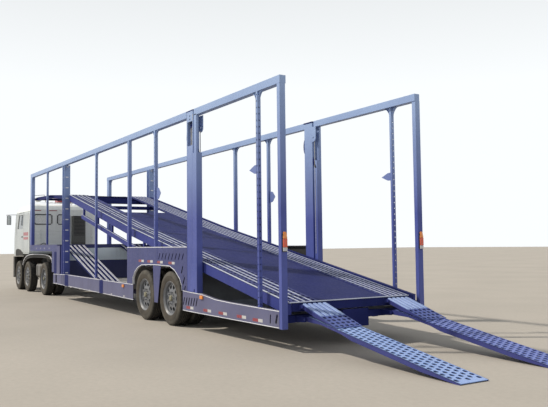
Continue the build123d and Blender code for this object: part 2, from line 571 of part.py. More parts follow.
finished.update({
    "gooseneck": gooseneck, "main_frame": main_frame, "frame_cross_members": frame_cross_members, "lower_deck": lower_deck, "side_skirts": side_skirts,
    "fender_panels": fender_panels, "front_cage_left": front_cage["left"], "front_cage_right": front_cage["right"],
    "rear_cage_left": rear_cage["left"], "rear_cage_right": rear_cage["right"], "well_tracks": well_tracks,
    "rear_crossbeam": rear_crossbeam, "trailer_axles": trailer_axles, "landing_legs": landing_legs,
    "rear_lamps": rear_lamps, "front_deck": front_deck, "deck_frame": deck_frame, "deck_plates": deck_plates,
    "deck_cross_members": deck_cross_members, "deck_lower_chords": deck_lower_chords, "ramp_left": ramps["left"], "ramp_right": ramps["right"],
    "ramp_flap_left": flaps["left"], "ramp_flap_right": flaps["right"], "chassis_frame": chassis_frame,
    "chassis_cross_members": chassis_cross_members,
    "front_axles": front_axles, "drive_axle": drive_axle, "fifth_wheel": fifth_wheel,
    "engine_block": engine_block, "fuel_tanks": fuel_tank, "mudguards": mudguards, "cab_floor": cab_floor,
    "cab_front": cab_front, "cab_rear_wall": cab_rear_wall, "cab_sides": cab_sides, "cab_roof": cab_roof,
    "cab_door_left": doors["left"], "cab_door_right": doors["right"], "front_bumper": front_bumper,
    "intake_column": intake_column, "cab_interior": cab_interior, "mirrors": mirrors,
})

os.makedirs("parts", exist_ok=True)
for node, name in finished.items():
    name.part.label = node
    export_step(name.part, f"parts/{node}.step")
    box = name.part.bounding_box()
    print(node, len(name.part.solids()), [round(v) for v in (*box.min, *box.max)])
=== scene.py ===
import bpy
import bmesh
import math
from mathutils import Vector, Matrix


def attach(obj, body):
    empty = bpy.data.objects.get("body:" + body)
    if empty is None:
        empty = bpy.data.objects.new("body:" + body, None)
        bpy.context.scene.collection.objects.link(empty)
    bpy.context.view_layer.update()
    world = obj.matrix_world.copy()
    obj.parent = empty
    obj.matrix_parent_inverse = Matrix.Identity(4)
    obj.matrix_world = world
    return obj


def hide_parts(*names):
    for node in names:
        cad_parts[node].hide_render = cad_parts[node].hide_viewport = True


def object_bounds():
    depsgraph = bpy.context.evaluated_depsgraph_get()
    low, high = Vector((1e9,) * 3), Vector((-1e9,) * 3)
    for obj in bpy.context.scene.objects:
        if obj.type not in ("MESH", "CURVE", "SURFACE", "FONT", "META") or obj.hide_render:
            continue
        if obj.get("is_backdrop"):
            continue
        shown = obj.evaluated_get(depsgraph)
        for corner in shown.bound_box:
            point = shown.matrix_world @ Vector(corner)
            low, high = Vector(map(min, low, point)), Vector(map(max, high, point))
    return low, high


# Looks of the car transporter. Lengths here are in metres; x in the tables runs forward from the rear
# face of the trailer's rear posts and Build shifts it by XM into the shared frame.
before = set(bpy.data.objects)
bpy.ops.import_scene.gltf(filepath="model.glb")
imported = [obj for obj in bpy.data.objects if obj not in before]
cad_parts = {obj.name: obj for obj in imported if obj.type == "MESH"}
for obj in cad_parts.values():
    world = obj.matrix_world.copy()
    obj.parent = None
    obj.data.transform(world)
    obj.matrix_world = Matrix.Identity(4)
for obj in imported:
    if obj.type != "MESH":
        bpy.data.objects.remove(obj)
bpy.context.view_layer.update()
XM = 8.130
SIDES = (("left", 1), ("right", -1))


# ------------------------------------------------------------------ deck and ramp lines, as in the frame
def deck_z(x):
    if x >= 6.6:
        return 1.982 + (x - 6.6) / 4.88 * 1.053
    return 0.700 + (x - 0.02) / 6.58 * 1.282


def ramp_z(x):
    return 0.018 + (x + 3.0) * 0.496 / 2.9


# ------------------------------------------------------------------ mesh collector
class Build:
    """Collects closed shapes as vertices and faces."""

    def __init__(self):
        self.v, self.f = [], []

    def put(self, pts, faces):
        n = len(self.v)
        self.v.extend((x - XM, y, z) for x, y, z in pts)
        self.f.extend([i + n for i in f] for f in faces)

    def box(self, x0, x1, y0, y1, z0, z1):
        y0, y1 = min(y0, y1), max(y0, y1)
        self.put([(x0, y0, z0), (x1, y0, z0), (x1, y1, z0), (x0, y1, z0),
                  (x0, y0, z1), (x1, y0, z1), (x1, y1, z1), (x0, y1, z1)],
                 [(0, 3, 2, 1), (4, 5, 6, 7), (0, 1, 5, 4), (1, 2, 6, 5), (2, 3, 7, 6), (3, 0, 4, 7)])

    def hexa(self, a, b):
        # box between two quads of 4 points each
        self.put(list(a) + list(b),
                 [(0, 3, 2, 1), (4, 5, 6, 7), (0, 1, 5, 4), (1, 2, 6, 5), (2, 3, 7, 6), (3, 0, 4, 7)])

    def prism(self, pts, lo, hi, axis="y"):
        # polygon extruded along an axis: pts are (x, z) for y, (y, z) for x, (x, y) for z
        def at(p, t):
            return {"y": (p[0], t, p[1]), "x": (t, p[0], p[1]), "z": (p[0], p[1], t)}[axis]
        n = len(pts)
        lo, hi = min(lo, hi), max(lo, hi)
        self.put([at(p, lo) for p in pts] + [at(p, hi) for p in pts],
                 [tuple(range(n)), tuple(range(2 * n - 1, n - 1, -1))]
                 + [(i, (i + 1) % n, n + (i + 1) % n, n + i) for i in range(n)])

    def bar(self, a, b, w, h, side=(0, 1, 0)):
        # rectangular bar whose top centre line runs from a to b; w across, h down
        a, b, s = Vector(a), Vector(b), Vector(side).normalized()
        d = (b - a).normalized()
        up = d.cross(s).normalized()
        if up.z < 0:
            up = -up
        q = [-s * w / 2 - up * h, s * w / 2 - up * h, s * w / 2, -s * w / 2]
        self.hexa([tuple(a + k) for k in q], [tuple(b + k) for k in q])

    def ring_set(self, rings, closed_ends=True, loop=False):
        # rings of equal length joined in order
        n, m = len(rings[0]), len(rings)
        faces = []
        for j in range(m if loop else m - 1):
            a, b = j * n, ((j + 1) % m) * n
            faces += [(a + i, a + (i + 1) % n, b + (i + 1) % n, b + i) for i in range(n)]
        if closed_ends and not loop:
            faces += [tuple(range(n - 1, -1, -1)), tuple(range((m - 1) * n, m * n))]
        self.put([p for r in rings for p in r], faces)

    def pipe(self, pts, r, n=10):
        pts = [Vector(p) for p in pts]
        rings, ref = [], None
        for i, p in enumerate(pts):
            t = ((pts[min(i + 1, len(pts) - 1)] - p).normalized() + (p - pts[max(i - 1, 0)]).normalized()).normalized()
            if ref is None:
                ref = Vector((0, 0, 1)) if abs(t.z) < 0.9 else Vector((0, 1, 0))
            u = t.cross(ref).normalized()
            w = u.cross(t).normalized()
            ref = w
            rings.append([tuple(p + (u * math.cos(k) + w * math.sin(k)) * r)
                          for k in (2 * math.pi * i / n for i in range(n))])
        self.ring_set(rings)

    def disc(self, c, axis, r, half, n=16, r2=None):
        # short cylinder or cone centred at c along an axis
        c, a = Vector(c), Vector(axis).normalized()
        u = a.orthogonal().normalized()
        w = a.cross(u)
        rings = []
        for s, rr in ((-half, r), (half, r if r2 is None else r2)):
            rings.append([tuple(c + a * s + (u * math.cos(k) + w * math.sin(k)) * rr)
                          for k in (2 * math.pi * i / n for i in range(n))])
        self.ring_set(rings)

    def lathe(self, c, side, profile, n=48, closed=True, mod=None):
        # profile of (radius, distance inward from c) turned about a line along Y; side is +1 or -1
        rings = []
        for k in range(n):
            t = 2 * math.pi * k / n
            row = []
            for j, (r, d) in enumerate(profile):
                if mod:
                    r = mod(k, j, r)
                row.append((c[0] + r * math.sin(t), c[1] - side * d, c[2] + r * math.cos(t)))
            rings.append(row)
        m = len(profile)
        faces = []
        for k in range(n):
            a, b = k * m, ((k + 1) % n) * m
            faces += [(a + j, a + (j + 1) % m, b + (j + 1) % m, b + j) for j in range(m if closed else m - 1)]
        self.put([p for r in rings for p in r], faces)

    def perforated(self, o, u, v, n, nu, nv, a, b, thick, shift=0.0, sides=8):
        """Plate at corner o, spanned by nu cells of vector u and nv cells of vector v, n is its unit normal.
        Each cell has an oblong hole of half sizes a (along u) and b (along v), in fractions of the cell."""
        o, u, v, n = Vector(o), Vector(u), Vector(v), Vector(n)
        outer8 = [(0, 0), (0.5, 0), (1, 0), (1, 0.5), (1, 1), (0.5, 1), (0, 1), (0, 0.5)]
        if sides == 12:
            outer = [(0, 0), (1 / 3, 0), (2 / 3, 0), (1, 0), (1, 1 / 3), (1, 2 / 3), (1, 1), (2 / 3, 1), (1 / 3, 1),
                     (0, 1), (0, 2 / 3), (0, 1 / 3)]
        else:
            outer = outer8
        m = len(outer)
        for i in range(nu):
            for j in range(nv):
                top, hole = [], []
                for p, q in outer:
                    ang = math.atan2(q - 0.5, p - 0.5)
                    top.append(o + u * (i + p) + v * (j + q))
                    hole.append(o + u * (i + 0.5 + a * math.cos(ang)) + v * (j + 0.5 + b * math.sin(ang)))
                pts = top + hole + [p - n * thick for p in top] + [p - n * thick for p in hole]
                faces = []
                for k in range(m):
                    k2 = (k + 1) % m
                    faces += [(k, k2, m + k2, m + k), (m + k, m + k2, 3 * m + k2, 3 * m + k),
                              (2 * m + k2, 2 * m + k, 3 * m + k, 3 * m + k2)]
                    p0, p1 = outer[k], outer[k2]
                    edge = ((p0[0] == p1[0] == 0 and i == 0) or (p0[0] == p1[0] == 1 and i == nu - 1)
                            or (p0[1] == p1[1] == 0 and j == 0) or (p0[1] == p1[1] == 1 and j == nv - 1))
                    if edge:
                        faces.append((k2, k, 2 * m + k, 2 * m + k2))
                self.put([tuple(p) for p in pts], faces)

    def plate(self, outline, holes, lo, hi, axis="y"):
        """Flat plate with holes: polygons in the plate's plane, made with a filled 2-D curve."""
        cu = bpy.data.curves.new("tmp", "CURVE")
        cu.dimensions, cu.fill_mode = "2D", "BOTH"
        cu.extrude = abs(hi - lo) / 2
        for poly in [outline] + list(holes):
            sp = cu.splines.new("POLY")
            sp.points.add(len(poly) - 1)
            for k, (p, q) in enumerate(poly):
                sp.points[k].co = (p, q, 0, 1)
            sp.use_cyclic_u = True
        ob = bpy.data.objects.new("tmp", cu)
        bpy.context.scene.collection.objects.link(ob)
        bpy.context.view_layer.update()
        me = bpy.data.meshes.new_from_object(ob.evaluated_get(bpy.context.evaluated_depsgraph_get()))
        mid = (lo + hi) / 2
        pts = []
        for v in me.vertices:
            p, q, t = v.co
            pts.append({"y": (p, mid + t, q), "x": (mid + t, p, q), "z": (p, q, mid + t)}[axis])
        self.put(pts, [tuple(f.vertices) for f in me.polygons])
        bpy.data.objects.remove(ob)
        bpy.data.curves.remove(cu)
        bpy.data.meshes.remove(me)


def smooth_by_angle(me, deg=35):
    bm = bmesh.new()
    bm.from_mesh(me)
    bmesh.ops.remove_doubles(bm, verts=bm.verts, dist=0.00005)
    bmesh.ops.recalc_face_normals(bm, faces=bm.faces)
    for f in bm.faces:
        f.smooth = True
    for e in bm.edges:
        e.smooth = len(e.link_faces) == 2 and e.calc_face_angle(3.2) < math.radians(deg)
    bm.to_mesh(me)
    bm.free()


def piece(name, build, body, material, bevel=0.0, replaces=(), segments=1, angle=35, edge=None):
    me = bpy.data.meshes.new(name)
    me.from_pydata(build.v, [], build.f)
    me.update()
    smooth_by_angle(me, angle)
    ob = bpy.data.objects.new(name, me)
    bpy.context.scene.collection.objects.link(ob)
    me.materials.append(material)
    if edge:
        me.materials.append(edge)
    if bevel:
        m = ob.modifiers.new("bevel", "BEVEL")
        m.width, m.segments, m.limit_method, m.angle_limit = bevel, segments, "ANGLE", math.radians(40)
        m.use_clamp_overlap = True
        if edge:
            m.material = 1
    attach(ob, body)
    if replaces:
        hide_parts(*replaces)
    return ob


# ------------------------------------------------------------------ materials
class Tree:
    def __init__(self, name):
        self.m = bpy.data.materials.new(name)
        self.m.use_nodes = True
        self.t = self.m.node_tree
        self.p = next(n for n in self.t.nodes if n.type == "BSDF_PRINCIPLED")
        self.obj = self.new("ShaderNodeTexCoord").outputs["Object"]

    def new(self, kind, **props):
        n = self.t.nodes.new(kind)
        for k, v in props.items():
            setattr(n, k, v)
        return n

    def link(self, a, b):
        self.t.links.new(a, b)

    def scaled(self, s):
        n = self.new("ShaderNodeMapping")
        n.inputs["Scale"].default_value = s if isinstance(s, tuple) else (s, s, s)
        self.link(self.obj, n.inputs["Vector"])
        return n.outputs["Vector"]

    def noise(self, scale, detail=4.0, rough=0.55, warp=0.0):
        n = self.new("ShaderNodeTexNoise")
        n.inputs["Scale"].default_value = 1.0
        n.inputs["Detail"].default_value = detail
        n.inputs["Roughness"].default_value = rough
        n.inputs["Distortion"].default_value = warp
        self.link(self.scaled(scale), n.inputs["Vector"])
        return n.outputs["Fac"]

    def ramp(self, fac, lo, hi, a=0.0, b=1.0):
        n = self.new("ShaderNodeMapRange")
        n.clamp = True
        for k, v in (("From Min", lo), ("From Max", hi), ("To Min", a), ("To Max", b)):
            n.inputs[k].default_value = v
        self.link(fac, n.inputs["Value"])
        return n.outputs["Result"]

    def math(self, op, a, b=None, clamp=False):
        n = self.new("ShaderNodeMath", operation=op)
        n.use_clamp = clamp
        for k, v in ((0, a), (1, b)):
            if v is None:
                continue
            if isinstance(v, (int, float)):
                n.inputs[k].default_value = v
            else:
                self.link(v, n.inputs[k])
        return n.outputs[0]

    def mix(self, fac, a, b, blend="MIX"):
        n = self.new("ShaderNodeMix", data_type="RGBA", blend_type=blend)
        n.clamp_factor = True
        if isinstance(fac, (int, float)):
            n.inputs[0].default_value = fac
        else:
            self.link(fac, n.inputs[0])
        for k, v in ((6, a), (7, b)):
            if isinstance(v, (tuple, list)):
                n.inputs[k].default_value = (*v[:3], 1)
            else:
                self.link(v, n.inputs[k])
        return n.outputs[2]

    def xyz(self):
        n = self.new("ShaderNodeSeparateXYZ")
        self.link(self.obj, n.inputs[0])
        return n.outputs

    def upward(self):
        g = self.new("ShaderNodeNewGeometry")
        n = self.new("ShaderNodeSeparateXYZ")
        self.link(g.outputs["Normal"], n.inputs[0])
        return n.outputs["Z"]

    def bump(self, fac, strength, distance, chain=None):
        n = self.new("ShaderNodeBump")
        n.inputs["Strength"].default_value = strength
        n.inputs["Distance"].default_value = distance
        self.link(fac, n.inputs["Height"])
        if chain is not None:
            self.link(chain, n.inputs["Normal"])
        return n.outputs["Normal"]

    def colour(self, out):
        if isinstance(out, (tuple, list)):
            self.p.inputs["Base Color"].default_value = (*out, 1)
        else:
            self.link(out, self.p.inputs["Base Color"])


def paint(name, base, rough=0.42, light=None, dust=0.35, low=0.35, streak=0.25, chips=0.0, chip_col=(0.12, 0.07, 0.05),
          orange=0.15, coat=0.0, dust_col=(0.30, 0.285, 0.26), low_top=1.2, metallic=0.0, spec=0.38, top_tint=None):
    """Brushed or sprayed paint: tone varies over half metres, rain streaks run down, dust lies on what faces up
    and low down, and chips show the primer."""
    t = Tree(name)
    light = light or tuple(min(1, c * 1.35 + 0.02) for c in base)
    big = t.noise(1.7, 3.0)
    c = t.mix(t.ramp(big, 0.3, 0.7), base, light)
    if streak:
        run = t.noise((9.0, 9.0, 0.9), 5.0, 0.6)
        c = t.mix(t.math("MULTIPLY", t.ramp(run, 0.5, 0.75), streak), c, tuple(x * 0.45 for x in base))
    fine = t.noise(23.0, 6.0, 0.65)
    up = t.ramp(t.upward(), 0.35, 0.95)
    z = t.xyz()["Z"]
    lowf = t.math("MULTIPLY", t.ramp(z, low_top, 0.2), low)
    d = t.math("ADD", t.math("MULTIPLY", up, dust), lowf)
    d = t.math("MULTIPLY", d, t.ramp(fine, 0.3, 0.7, 0.45, 1.15), clamp=True)
    c = t.mix(d, c, dust_col)
    if chips:
        ch = t.noise(61.0, 3.0, 0.7, 0.4)
        patch = t.noise(3.1, 2.0)
        k = t.math("MULTIPLY", t.ramp(ch, 0.62, 0.66), t.ramp(patch, 0.45, 0.65, 0.0, chips), clamp=True)
        c = t.mix(k, c, chip_col)
    if top_tint:
        # lighter towards the top: colour, height where it starts, height where it is full, most
        c = t.mix(t.math("MULTIPLY", t.ramp(z, top_tint[1], top_tint[2]), t.ramp(big, 0.2, 0.8, top_tint[3] * 0.8, top_tint[3]), clamp=True),
                  c, top_tint[0])
    t.colour(c)
    t.link(t.ramp(fine, 0.25, 0.75, rough - 0.06, rough + 0.16), t.p.inputs["Roughness"])
    t.link(t.bump(t.noise(180.0, 2.0), orange, 0.0006, t.bump(fine, 0.12, 0.002)), t.p.inputs["Normal"])
    t.p.inputs["Metallic"].default_value = metallic
    t.p.inputs["Coat Weight"].default_value = coat
    t.p.inputs["Coat Roughness"].default_value = 0.12
    t.p.inputs["Specular IOR Level"].default_value = spec
    return t.m


def plain(name, base, rough=0.5, var=0.25, scale=30.0, bump=0.15, metallic=0.0, dust=0.2, coat=0.0,
          dust_col=(0.42, 0.40, 0.36), dist=0.001):
    t = Tree(name)
    f = t.noise(scale, 5.0, 0.6)
    c = t.mix(t.ramp(f, 0.3, 0.7), tuple(x * (1 - var) for x in base), tuple(min(1, x * (1 + var)) for x in base))
    up = t.ramp(t.upward(), 0.2, 0.95)
    c = t.mix(t.math("MULTIPLY", t.math("MULTIPLY", up, t.ramp(t.noise(7.0), 0.3, 0.7, 0.5, 1.1)), dust, clamp=True), c, dust_col)
    t.colour(c)
    t.link(t.ramp(f, 0.25, 0.75, max(0.02, rough - 0.08), min(1, rough + 0.12)), t.p.inputs["Roughness"])
    t.link(t.bump(f, bump, dist), t.p.inputs["Normal"])
    t.p.inputs["Metallic"].default_value = metallic
    t.p.inputs["Coat Weight"].default_value = coat
    return t.m


BLUE = (0.036, 0.043, 0.150)
M = {
    "blue": paint("trailer_paint", BLUE, light=(0.050, 0.058, 0.190), dust=0.30, low=0.16, chips=0.25),
    "cage": paint("cage_paint", (0.052, 0.072, 0.285), light=(0.074, 0.097, 0.345), rough=0.40, dust=0.22, low=0.05,
                  streak=0.3, chips=0.2, top_tint=((0.33, 0.455, 0.69), 2.0, 4.0, 0.90)),
    "deck": paint("deck_paint", (0.012, 0.018, 0.100), light=(0.018, 0.024, 0.128), rough=0.55, dust=0.02, low=0.0,
                  chips=0.3, chip_col=(0.12, 0.14, 0.20), spec=0.09),
    "girder": paint("girder_paint", (0.034, 0.044, 0.200), light=(0.046, 0.058, 0.240), rough=0.5, dust=0.06, low=0.0,
                    chips=0.3, chip_col=(0.12, 0.14, 0.20), spec=0.14),
    "track": paint("track_paint", (0.030, 0.038, 0.150), light=(0.055, 0.068, 0.215), rough=0.5, dust=0.05, spec=0.12, low=0.0,
                   chips=0.5, chip_col=(0.30, 0.32, 0.36)),
    # rib paint: a lighter copy of the flap blue, a painted highlight on the flap's ribs
    "rib": paint("rib_painted_highlight", (0.24, 0.33, 0.60), light=(0.32, 0.42, 0.68), rough=0.4, dust=0.1, low=0.0, chips=0.4,
                 spec=0.25),
    "flap": paint("flap_paint", (0.060, 0.090, 0.300), light=(0.085, 0.120, 0.360), rough=0.45, dust=0.05, low=0.0,
                  chips=0.5, chip_col=(0.22, 0.26, 0.34), spec=0.2),
    # ramp tread paint: the lit copy, used on the near ramp, with painted light
    "ramp": paint("ramp_paint", (0.215, 0.350, 0.72), light=(0.270, 0.410, 0.79), rough=0.38, dust=0.20, low=0.0,
                  chips=0.4, chip_col=(0.30, 0.33, 0.40)),
    # far ramp's tread: a darker copy of the ramp paint, painted shade
    "ramp_far_shaded": paint("far_ramp_painted_shade", (0.095, 0.140, 0.46), light=(0.130, 0.185, 0.54), rough=0.42, dust=0.12, low=0.0,
                      chips=0.4, chip_col=(0.26, 0.29, 0.38)),
    # edge paint for lips and edge lines: partly worn paint, partly a painted highlight where edges catch the light
    "worn_highlit": paint("worn_and_highlit_edge", (0.45, 0.50, 0.62), light=(0.56, 0.60, 0.70), rough=0.4, dust=0.3, low=0.0, chips=0.3,
                  dust_col=(0.45, 0.44, 0.42)),
    # lower deck floor, lighter than its dark paint: painted light lifting the shade under the upper deck
    "floor": paint("lower_floor_painted_light", (0.22, 0.23, 0.245), light=(0.34, 0.35, 0.36), rough=0.65, dust=0.35, low=0.1,
                   chips=0.5),
    "black": paint("chassis_paint", (0.018, 0.018, 0.019), light=(0.035, 0.033, 0.031), rough=0.6, dust=0.3, low=0.30,
                   streak=0.1, chips=0.3, dust_col=(0.16, 0.15, 0.13)),
    # cab white made grey: painted shade on the cab's sides, front and doors
    "white": paint("cab_white_painted_shade", (0.355, 0.385, 0.385), light=(0.42, 0.445, 0.44), rough=0.28, dust=0.12, low=0.25,
                   streak=0.10, coat=0.3, low_top=1.6, dust_col=(0.33, 0.31, 0.27)),
    "rear_glass": plain("rear_window", (0.78, 0.82, 0.80), 0.4, var=0.25, dust=0.1),
    # lit copy of the cab white for the rear wall, roof and rear ribs: painted light
    "white_rear": paint("cab_rear_paint", (0.80, 0.84, 0.83), light=(0.86, 0.89, 0.88), rough=0.35, dust=0.15, low=0.2,
                        streak=0.15, low_top=1.8, dust_col=(0.45, 0.43, 0.39)),
    "column": plain("intake_column", (0.115, 0.118, 0.108), 0.55, dust=0.2),
    "trim": plain("dark_trim", (0.028, 0.029, 0.031), 0.55, dust=0.15),
    "rubber": plain("rubber_seal", (0.014, 0.014, 0.015), 0.75, dust=0.05),
    "alu": plain("tank_metal", (0.20, 0.19, 0.175), 0.42, var=0.15, metallic=0.6, dust=0.45, dust_col=(0.22, 0.20, 0.17)),
    "iron": plain("engine_iron", (0.09, 0.09, 0.092), 0.6, dust=0.2, bump=0.4),
    "lens": plain("lamp_lens", (0.62, 0.07, 0.02), 0.2, var=0.1, dust=0.05, coat=0.6),
    "lens_red": plain("lens_red", (0.26, 0.030, 0.045), 0.3, var=0.15, dust=0.05, coat=0.3),
    "lens_white": plain("lens_white", (0.50, 0.50, 0.51), 0.3, var=0.05, dust=0.08, coat=0.4),
    "marker": plain("marker_lens", (0.75, 0.24, 0.03), 0.25, var=0.1, dust=0.1, coat=0.5),
    "skirt": paint("skirt_paint", (0.068, 0.072, 0.175), light=(0.095, 0.100, 0.215), rough=0.5, dust=0.3, low=0.30,
                   streak=0.2, chips=0.3, dust_col=(0.26, 0.25, 0.25)),
    # bright edge paint on lips, flanges, rungs and track edges: a painted highlight where edges catch the light
    "bright": paint("bright_edge_highlight", (0.66, 0.68, 0.75), light=(0.78, 0.79, 0.83), rough=0.4, dust=0.2, low=0.05, chips=0.2,
                    dust_col=(0.5, 0.48, 0.44)),
    # near-white panel standing for sunlit ground seen through the gooseneck: painted light
    "sunlit_patch": paint("painted_sunlight_panel", (0.74, 0.84, 0.93), light=(0.80, 0.89, 0.95), rough=0.5, dust=0.2, low=0.0, chips=0.2),
    "flange": paint("ramp_side_paint", (0.030, 0.037, 0.17), light=(0.042, 0.05, 0.21), rough=0.42, dust=0.12, low=0.0,
                    chips=0.3),
    "dusty": paint("dusty_strip", (0.16, 0.15, 0.14), light=(0.24, 0.22, 0.20), rough=0.7, dust=0.3, low=0.0, chips=0.3),
    "tyre": None, "rim": None, "hub": None,
    "steel": plain("bright_steel", (0.42, 0.42, 0.43), 0.4, var=0.2, metallic=0.7, dust=0.2),
    "glass": None,
    "mirror": plain("mirror_face", (0.55, 0.58, 0.60), 0.06, var=0.03, metallic=1.0, dust=0.05, bump=0.02),
    "hose": plain("coiled_hose", (0.05, 0.055, 0.06), 0.45, dust=0.2),
    "stripe": paint("cab_stripe", (0.26, 0.022, 0.028), rough=0.3, dust=0.1, low=0.2, streak=0.1, coat=0.3),
}


def wheel_paint(name, base, dust_col, dust, rough, metallic=0.0, facing=1.0):
    """Dusty wheel surface: dirt in clouds over the base."""
    t = Tree(name)
    big = t.noise(5.0, 4.0, 0.6)
    fine = t.noise(40.0, 5.0, 0.65)
    c = t.mix(t.ramp(fine, 0.3, 0.7), tuple(x * 0.75 for x in base), tuple(min(1, x * 1.2) for x in base))
    g = t.new("ShaderNodeNewGeometry")
    sep = t.new("ShaderNodeSeparateXYZ")
    t.link(g.outputs["Normal"], sep.inputs[0])
    face = t.ramp(t.math("ABSOLUTE", sep.outputs["Y"]), 0.45, 0.92, facing, 1.0)
    d = t.math("MULTIPLY", t.ramp(big, 0.30, 0.62, 0.35, 1.0), dust, clamp=True)
    c = t.mix(t.math("MULTIPLY", d, face, clamp=True), c, dust_col)
    t.colour(c)
    t.link(t.ramp(fine, 0.25, 0.75, rough - 0.05, rough + 0.12), t.p.inputs["Roughness"])
    t.link(t.bump(fine, 0.25, 0.002), t.p.inputs["Normal"])
    t.p.inputs["Metallic"].default_value = metallic
    return t.m


M["tyre"] = wheel_paint("tyre_rubber", (0.010, 0.010, 0.010), (0.165, 0.148, 0.120), 0.55, 0.85, facing=0.10)
M["wall"] = wheel_paint("tyre_wall", (0.020, 0.018, 0.016), (0.075, 0.062, 0.046), 0.8, 0.85)
M["rim"] = wheel_paint("rim_paint", (0.15, 0.165, 0.195), (0.16, 0.15, 0.135), 0.45, 0.42)
M["hub"] = wheel_paint("hub_iron", (0.16, 0.16, 0.12), (0.26, 0.24, 0.16), 0.6, 0.65)
t = Tree("cab_glass")
t.colour((0.035, 0.045, 0.048))
t.p.inputs["Roughness"].default_value = 0.04
t.p.inputs["Specular IOR Level"].default_value = 0.6
t.p.inputs["Coat Weight"].default_value = 0.5
t.p.inputs["Transmission Weight"].default_value = 0.35
t.link(t.ramp(t.noise(4.0), 0.3, 0.7, 0.03, 0.09), t.p.inputs["Roughness"])
M["glass"] = t.m

# ------------------------------------------------------------------ finish of the frame's own pieces
FINISH = {  # node: material, rounding of its edges in metres
    "gooseneck": ("blue", 0.006), "main_frame": ("blue", 0.005), "frame_cross_members": ("blue", 0.004),
    "lower_deck": ("floor", 0.002), "side_skirts": ("blue", 0.003), "fender_panels": ("blue", 0.002),
    "front_cage_left": ("cage", 0.006), "front_cage_right": ("cage", 0.006), "rear_cage_left": ("cage", 0.008),
    "rear_cage_right": ("cage", 0.008), "well_tracks": ("deck", 0.003), "rear_crossbeam": ("deck", 0.005),
    "trailer_axles": ("black", 0.004), "landing_legs": ("blue", 0.006), "rear_lamps": ("lens", 0.008),
    "front_deck": ("deck", 0.004), "deck_frame": ("girder", 0.005), "deck_cross_members": ("deck", 0.004),
    "deck_lower_chords": ("girder", 0.004), "deck_plates": ("deck", 0.002),
    "ramp_left": ("ramp", 0.003), "ramp_right": ("ramp", 0.003), "ramp_flap_left": ("ramp", 0.002),
    "ramp_flap_right": ("ramp", 0.002), "chassis_frame": ("black", 0.006), "chassis_cross_members": ("black", 0.005),
    "front_axles": ("black", 0.008), "drive_axle": ("black", 0.006), "fifth_wheel": ("black", 0.008),
    "engine_block": ("iron", 0.02), "fuel_tanks": ("alu", 0.006), "mudguards": ("black", 0.002),
    "cab_floor": ("white", 0.008), "cab_front": ("white", 0.012), "cab_rear_wall": ("white_rear", 0.008),
    "cab_sides": ("white", 0.010), "cab_roof": ("white_rear", 0.020), "cab_door_left": ("white", 0.006),
    "cab_door_right": ("white", 0.006), "front_bumper": ("black", 0.012), "intake_column": ("column", 0.015),
    "cab_interior": ("trim", 0.03), "mirrors": ("trim", 0.012),
    "front_knuckle_left": ("black", 0.004), "front_knuckle_right": ("black", 0.004),
    "second_knuckle_left": ("black", 0.004), "second_knuckle_right": ("black", 0.004),
}
for node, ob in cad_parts.items():
    key, width = FINISH.get(node, ("trim", 0.004))
    ob.data.materials.clear()
    ob.data.materials.append(M[key])
    w = ob.modifiers.new("weld", "WELD")
    w.merge_threshold = 0.0002
    b = ob.modifiers.new("bevel", "BEVEL")
    b.width, b.segments, b.limit_method, b.angle_limit = width, 2, "ANGLE", math.radians(35)
    b.use_clamp_overlap = True

# ------------------------------------------------------------------ wheels
def disc_holes(b, c, side, r0, r1, d0, d1, n, thick, ra, rb, rh):
    """Annular disc from radius r0 at depth d0 to r1 at depth d1, with n oval holes round radius rh;
    ra is a hole's half size along the radius, rb round the circle."""
    lo, hi = rh - ra * 1.5, rh + ra * 1.5

    def at(r, ang, back):
        d = d0 + (d1 - d0) * (r - r0) / (r1 - r0) + back
        return (c[0] + r * math.sin(ang), c[1] - side * d, c[2] + r * math.cos(ang))
    seg = 2 * math.pi / n
    for i in range(n):
        a0 = i * seg
        cell = [(lo, 0), (lo, .25), (lo, .5), (lo, .75), (lo, 1), (rh, 1), (hi, 1), (hi, .75), (hi, .5), (hi, .25),
                (hi, 0), (rh, 0)]
        outer, hole = [], []
        for r, t in cell:
            ang = math.atan2((t - 0.5) * seg * rh, r - rh)
            outer.append((r, a0 + t * seg))
            hole.append((rh + ra * math.cos(ang), a0 + 0.5 * seg + rb * math.sin(ang) / rh))
        m = len(cell)
        pts = [at(r, a, 0) for r, a in outer + hole] + [at(r, a, thick) for r, a in outer + hole]
        faces = []
        for k in range(m):
            k2 = (k + 1) % m
            faces += [(k, k2, m + k2, m + k), (m + k, m + k2, 3 * m + k2, 3 * m + k), (2 * m + k2, 2 * m + k, 3 * m + k, 3 * m + k2)]
        b.put(pts, faces)
    for ra_, rb_ in ((r0, lo), (hi, r1)):
        if rb_ - ra_ > 0.002:
            f0, f1 = (ra_ - r0) / (r1 - r0), (rb_ - r0) / (r1 - r0)
            b.lathe(c, side, [(ra_, d0 + (d1 - d0) * f0), (rb_, d0 + (d1 - d0) * f1), (rb_, d0 + (d1 - d0) * f1 + thick),
                              (ra_, d0 + (d1 - d0) * f0 + thick)], 60)


TYRE_PROFILE = [(0.318, 0.034), (0.330, 0.020), (0.368, 0.009), (0.430, 0.004), (0.478, 0.012), (0.500, 0.022),
                (0.515, 0.032), (0.525, 0.050), (0.525, 0.093), (0.513, 0.096), (0.513, 0.106), (0.525, 0.109),
                (0.525, 0.134), (0.513, 0.137), (0.513, 0.143), (0.525, 0.146), (0.525, 0.171), (0.513, 0.174),
                (0.513, 0.184), (0.525, 0.187), (0.525, 0.230), (0.515, 0.248), (0.500, 0.258), (0.478, 0.268),
                (0.430, 0.276), (0.368, 0.271), (0.330, 0.260), (0.318, 0.246)]


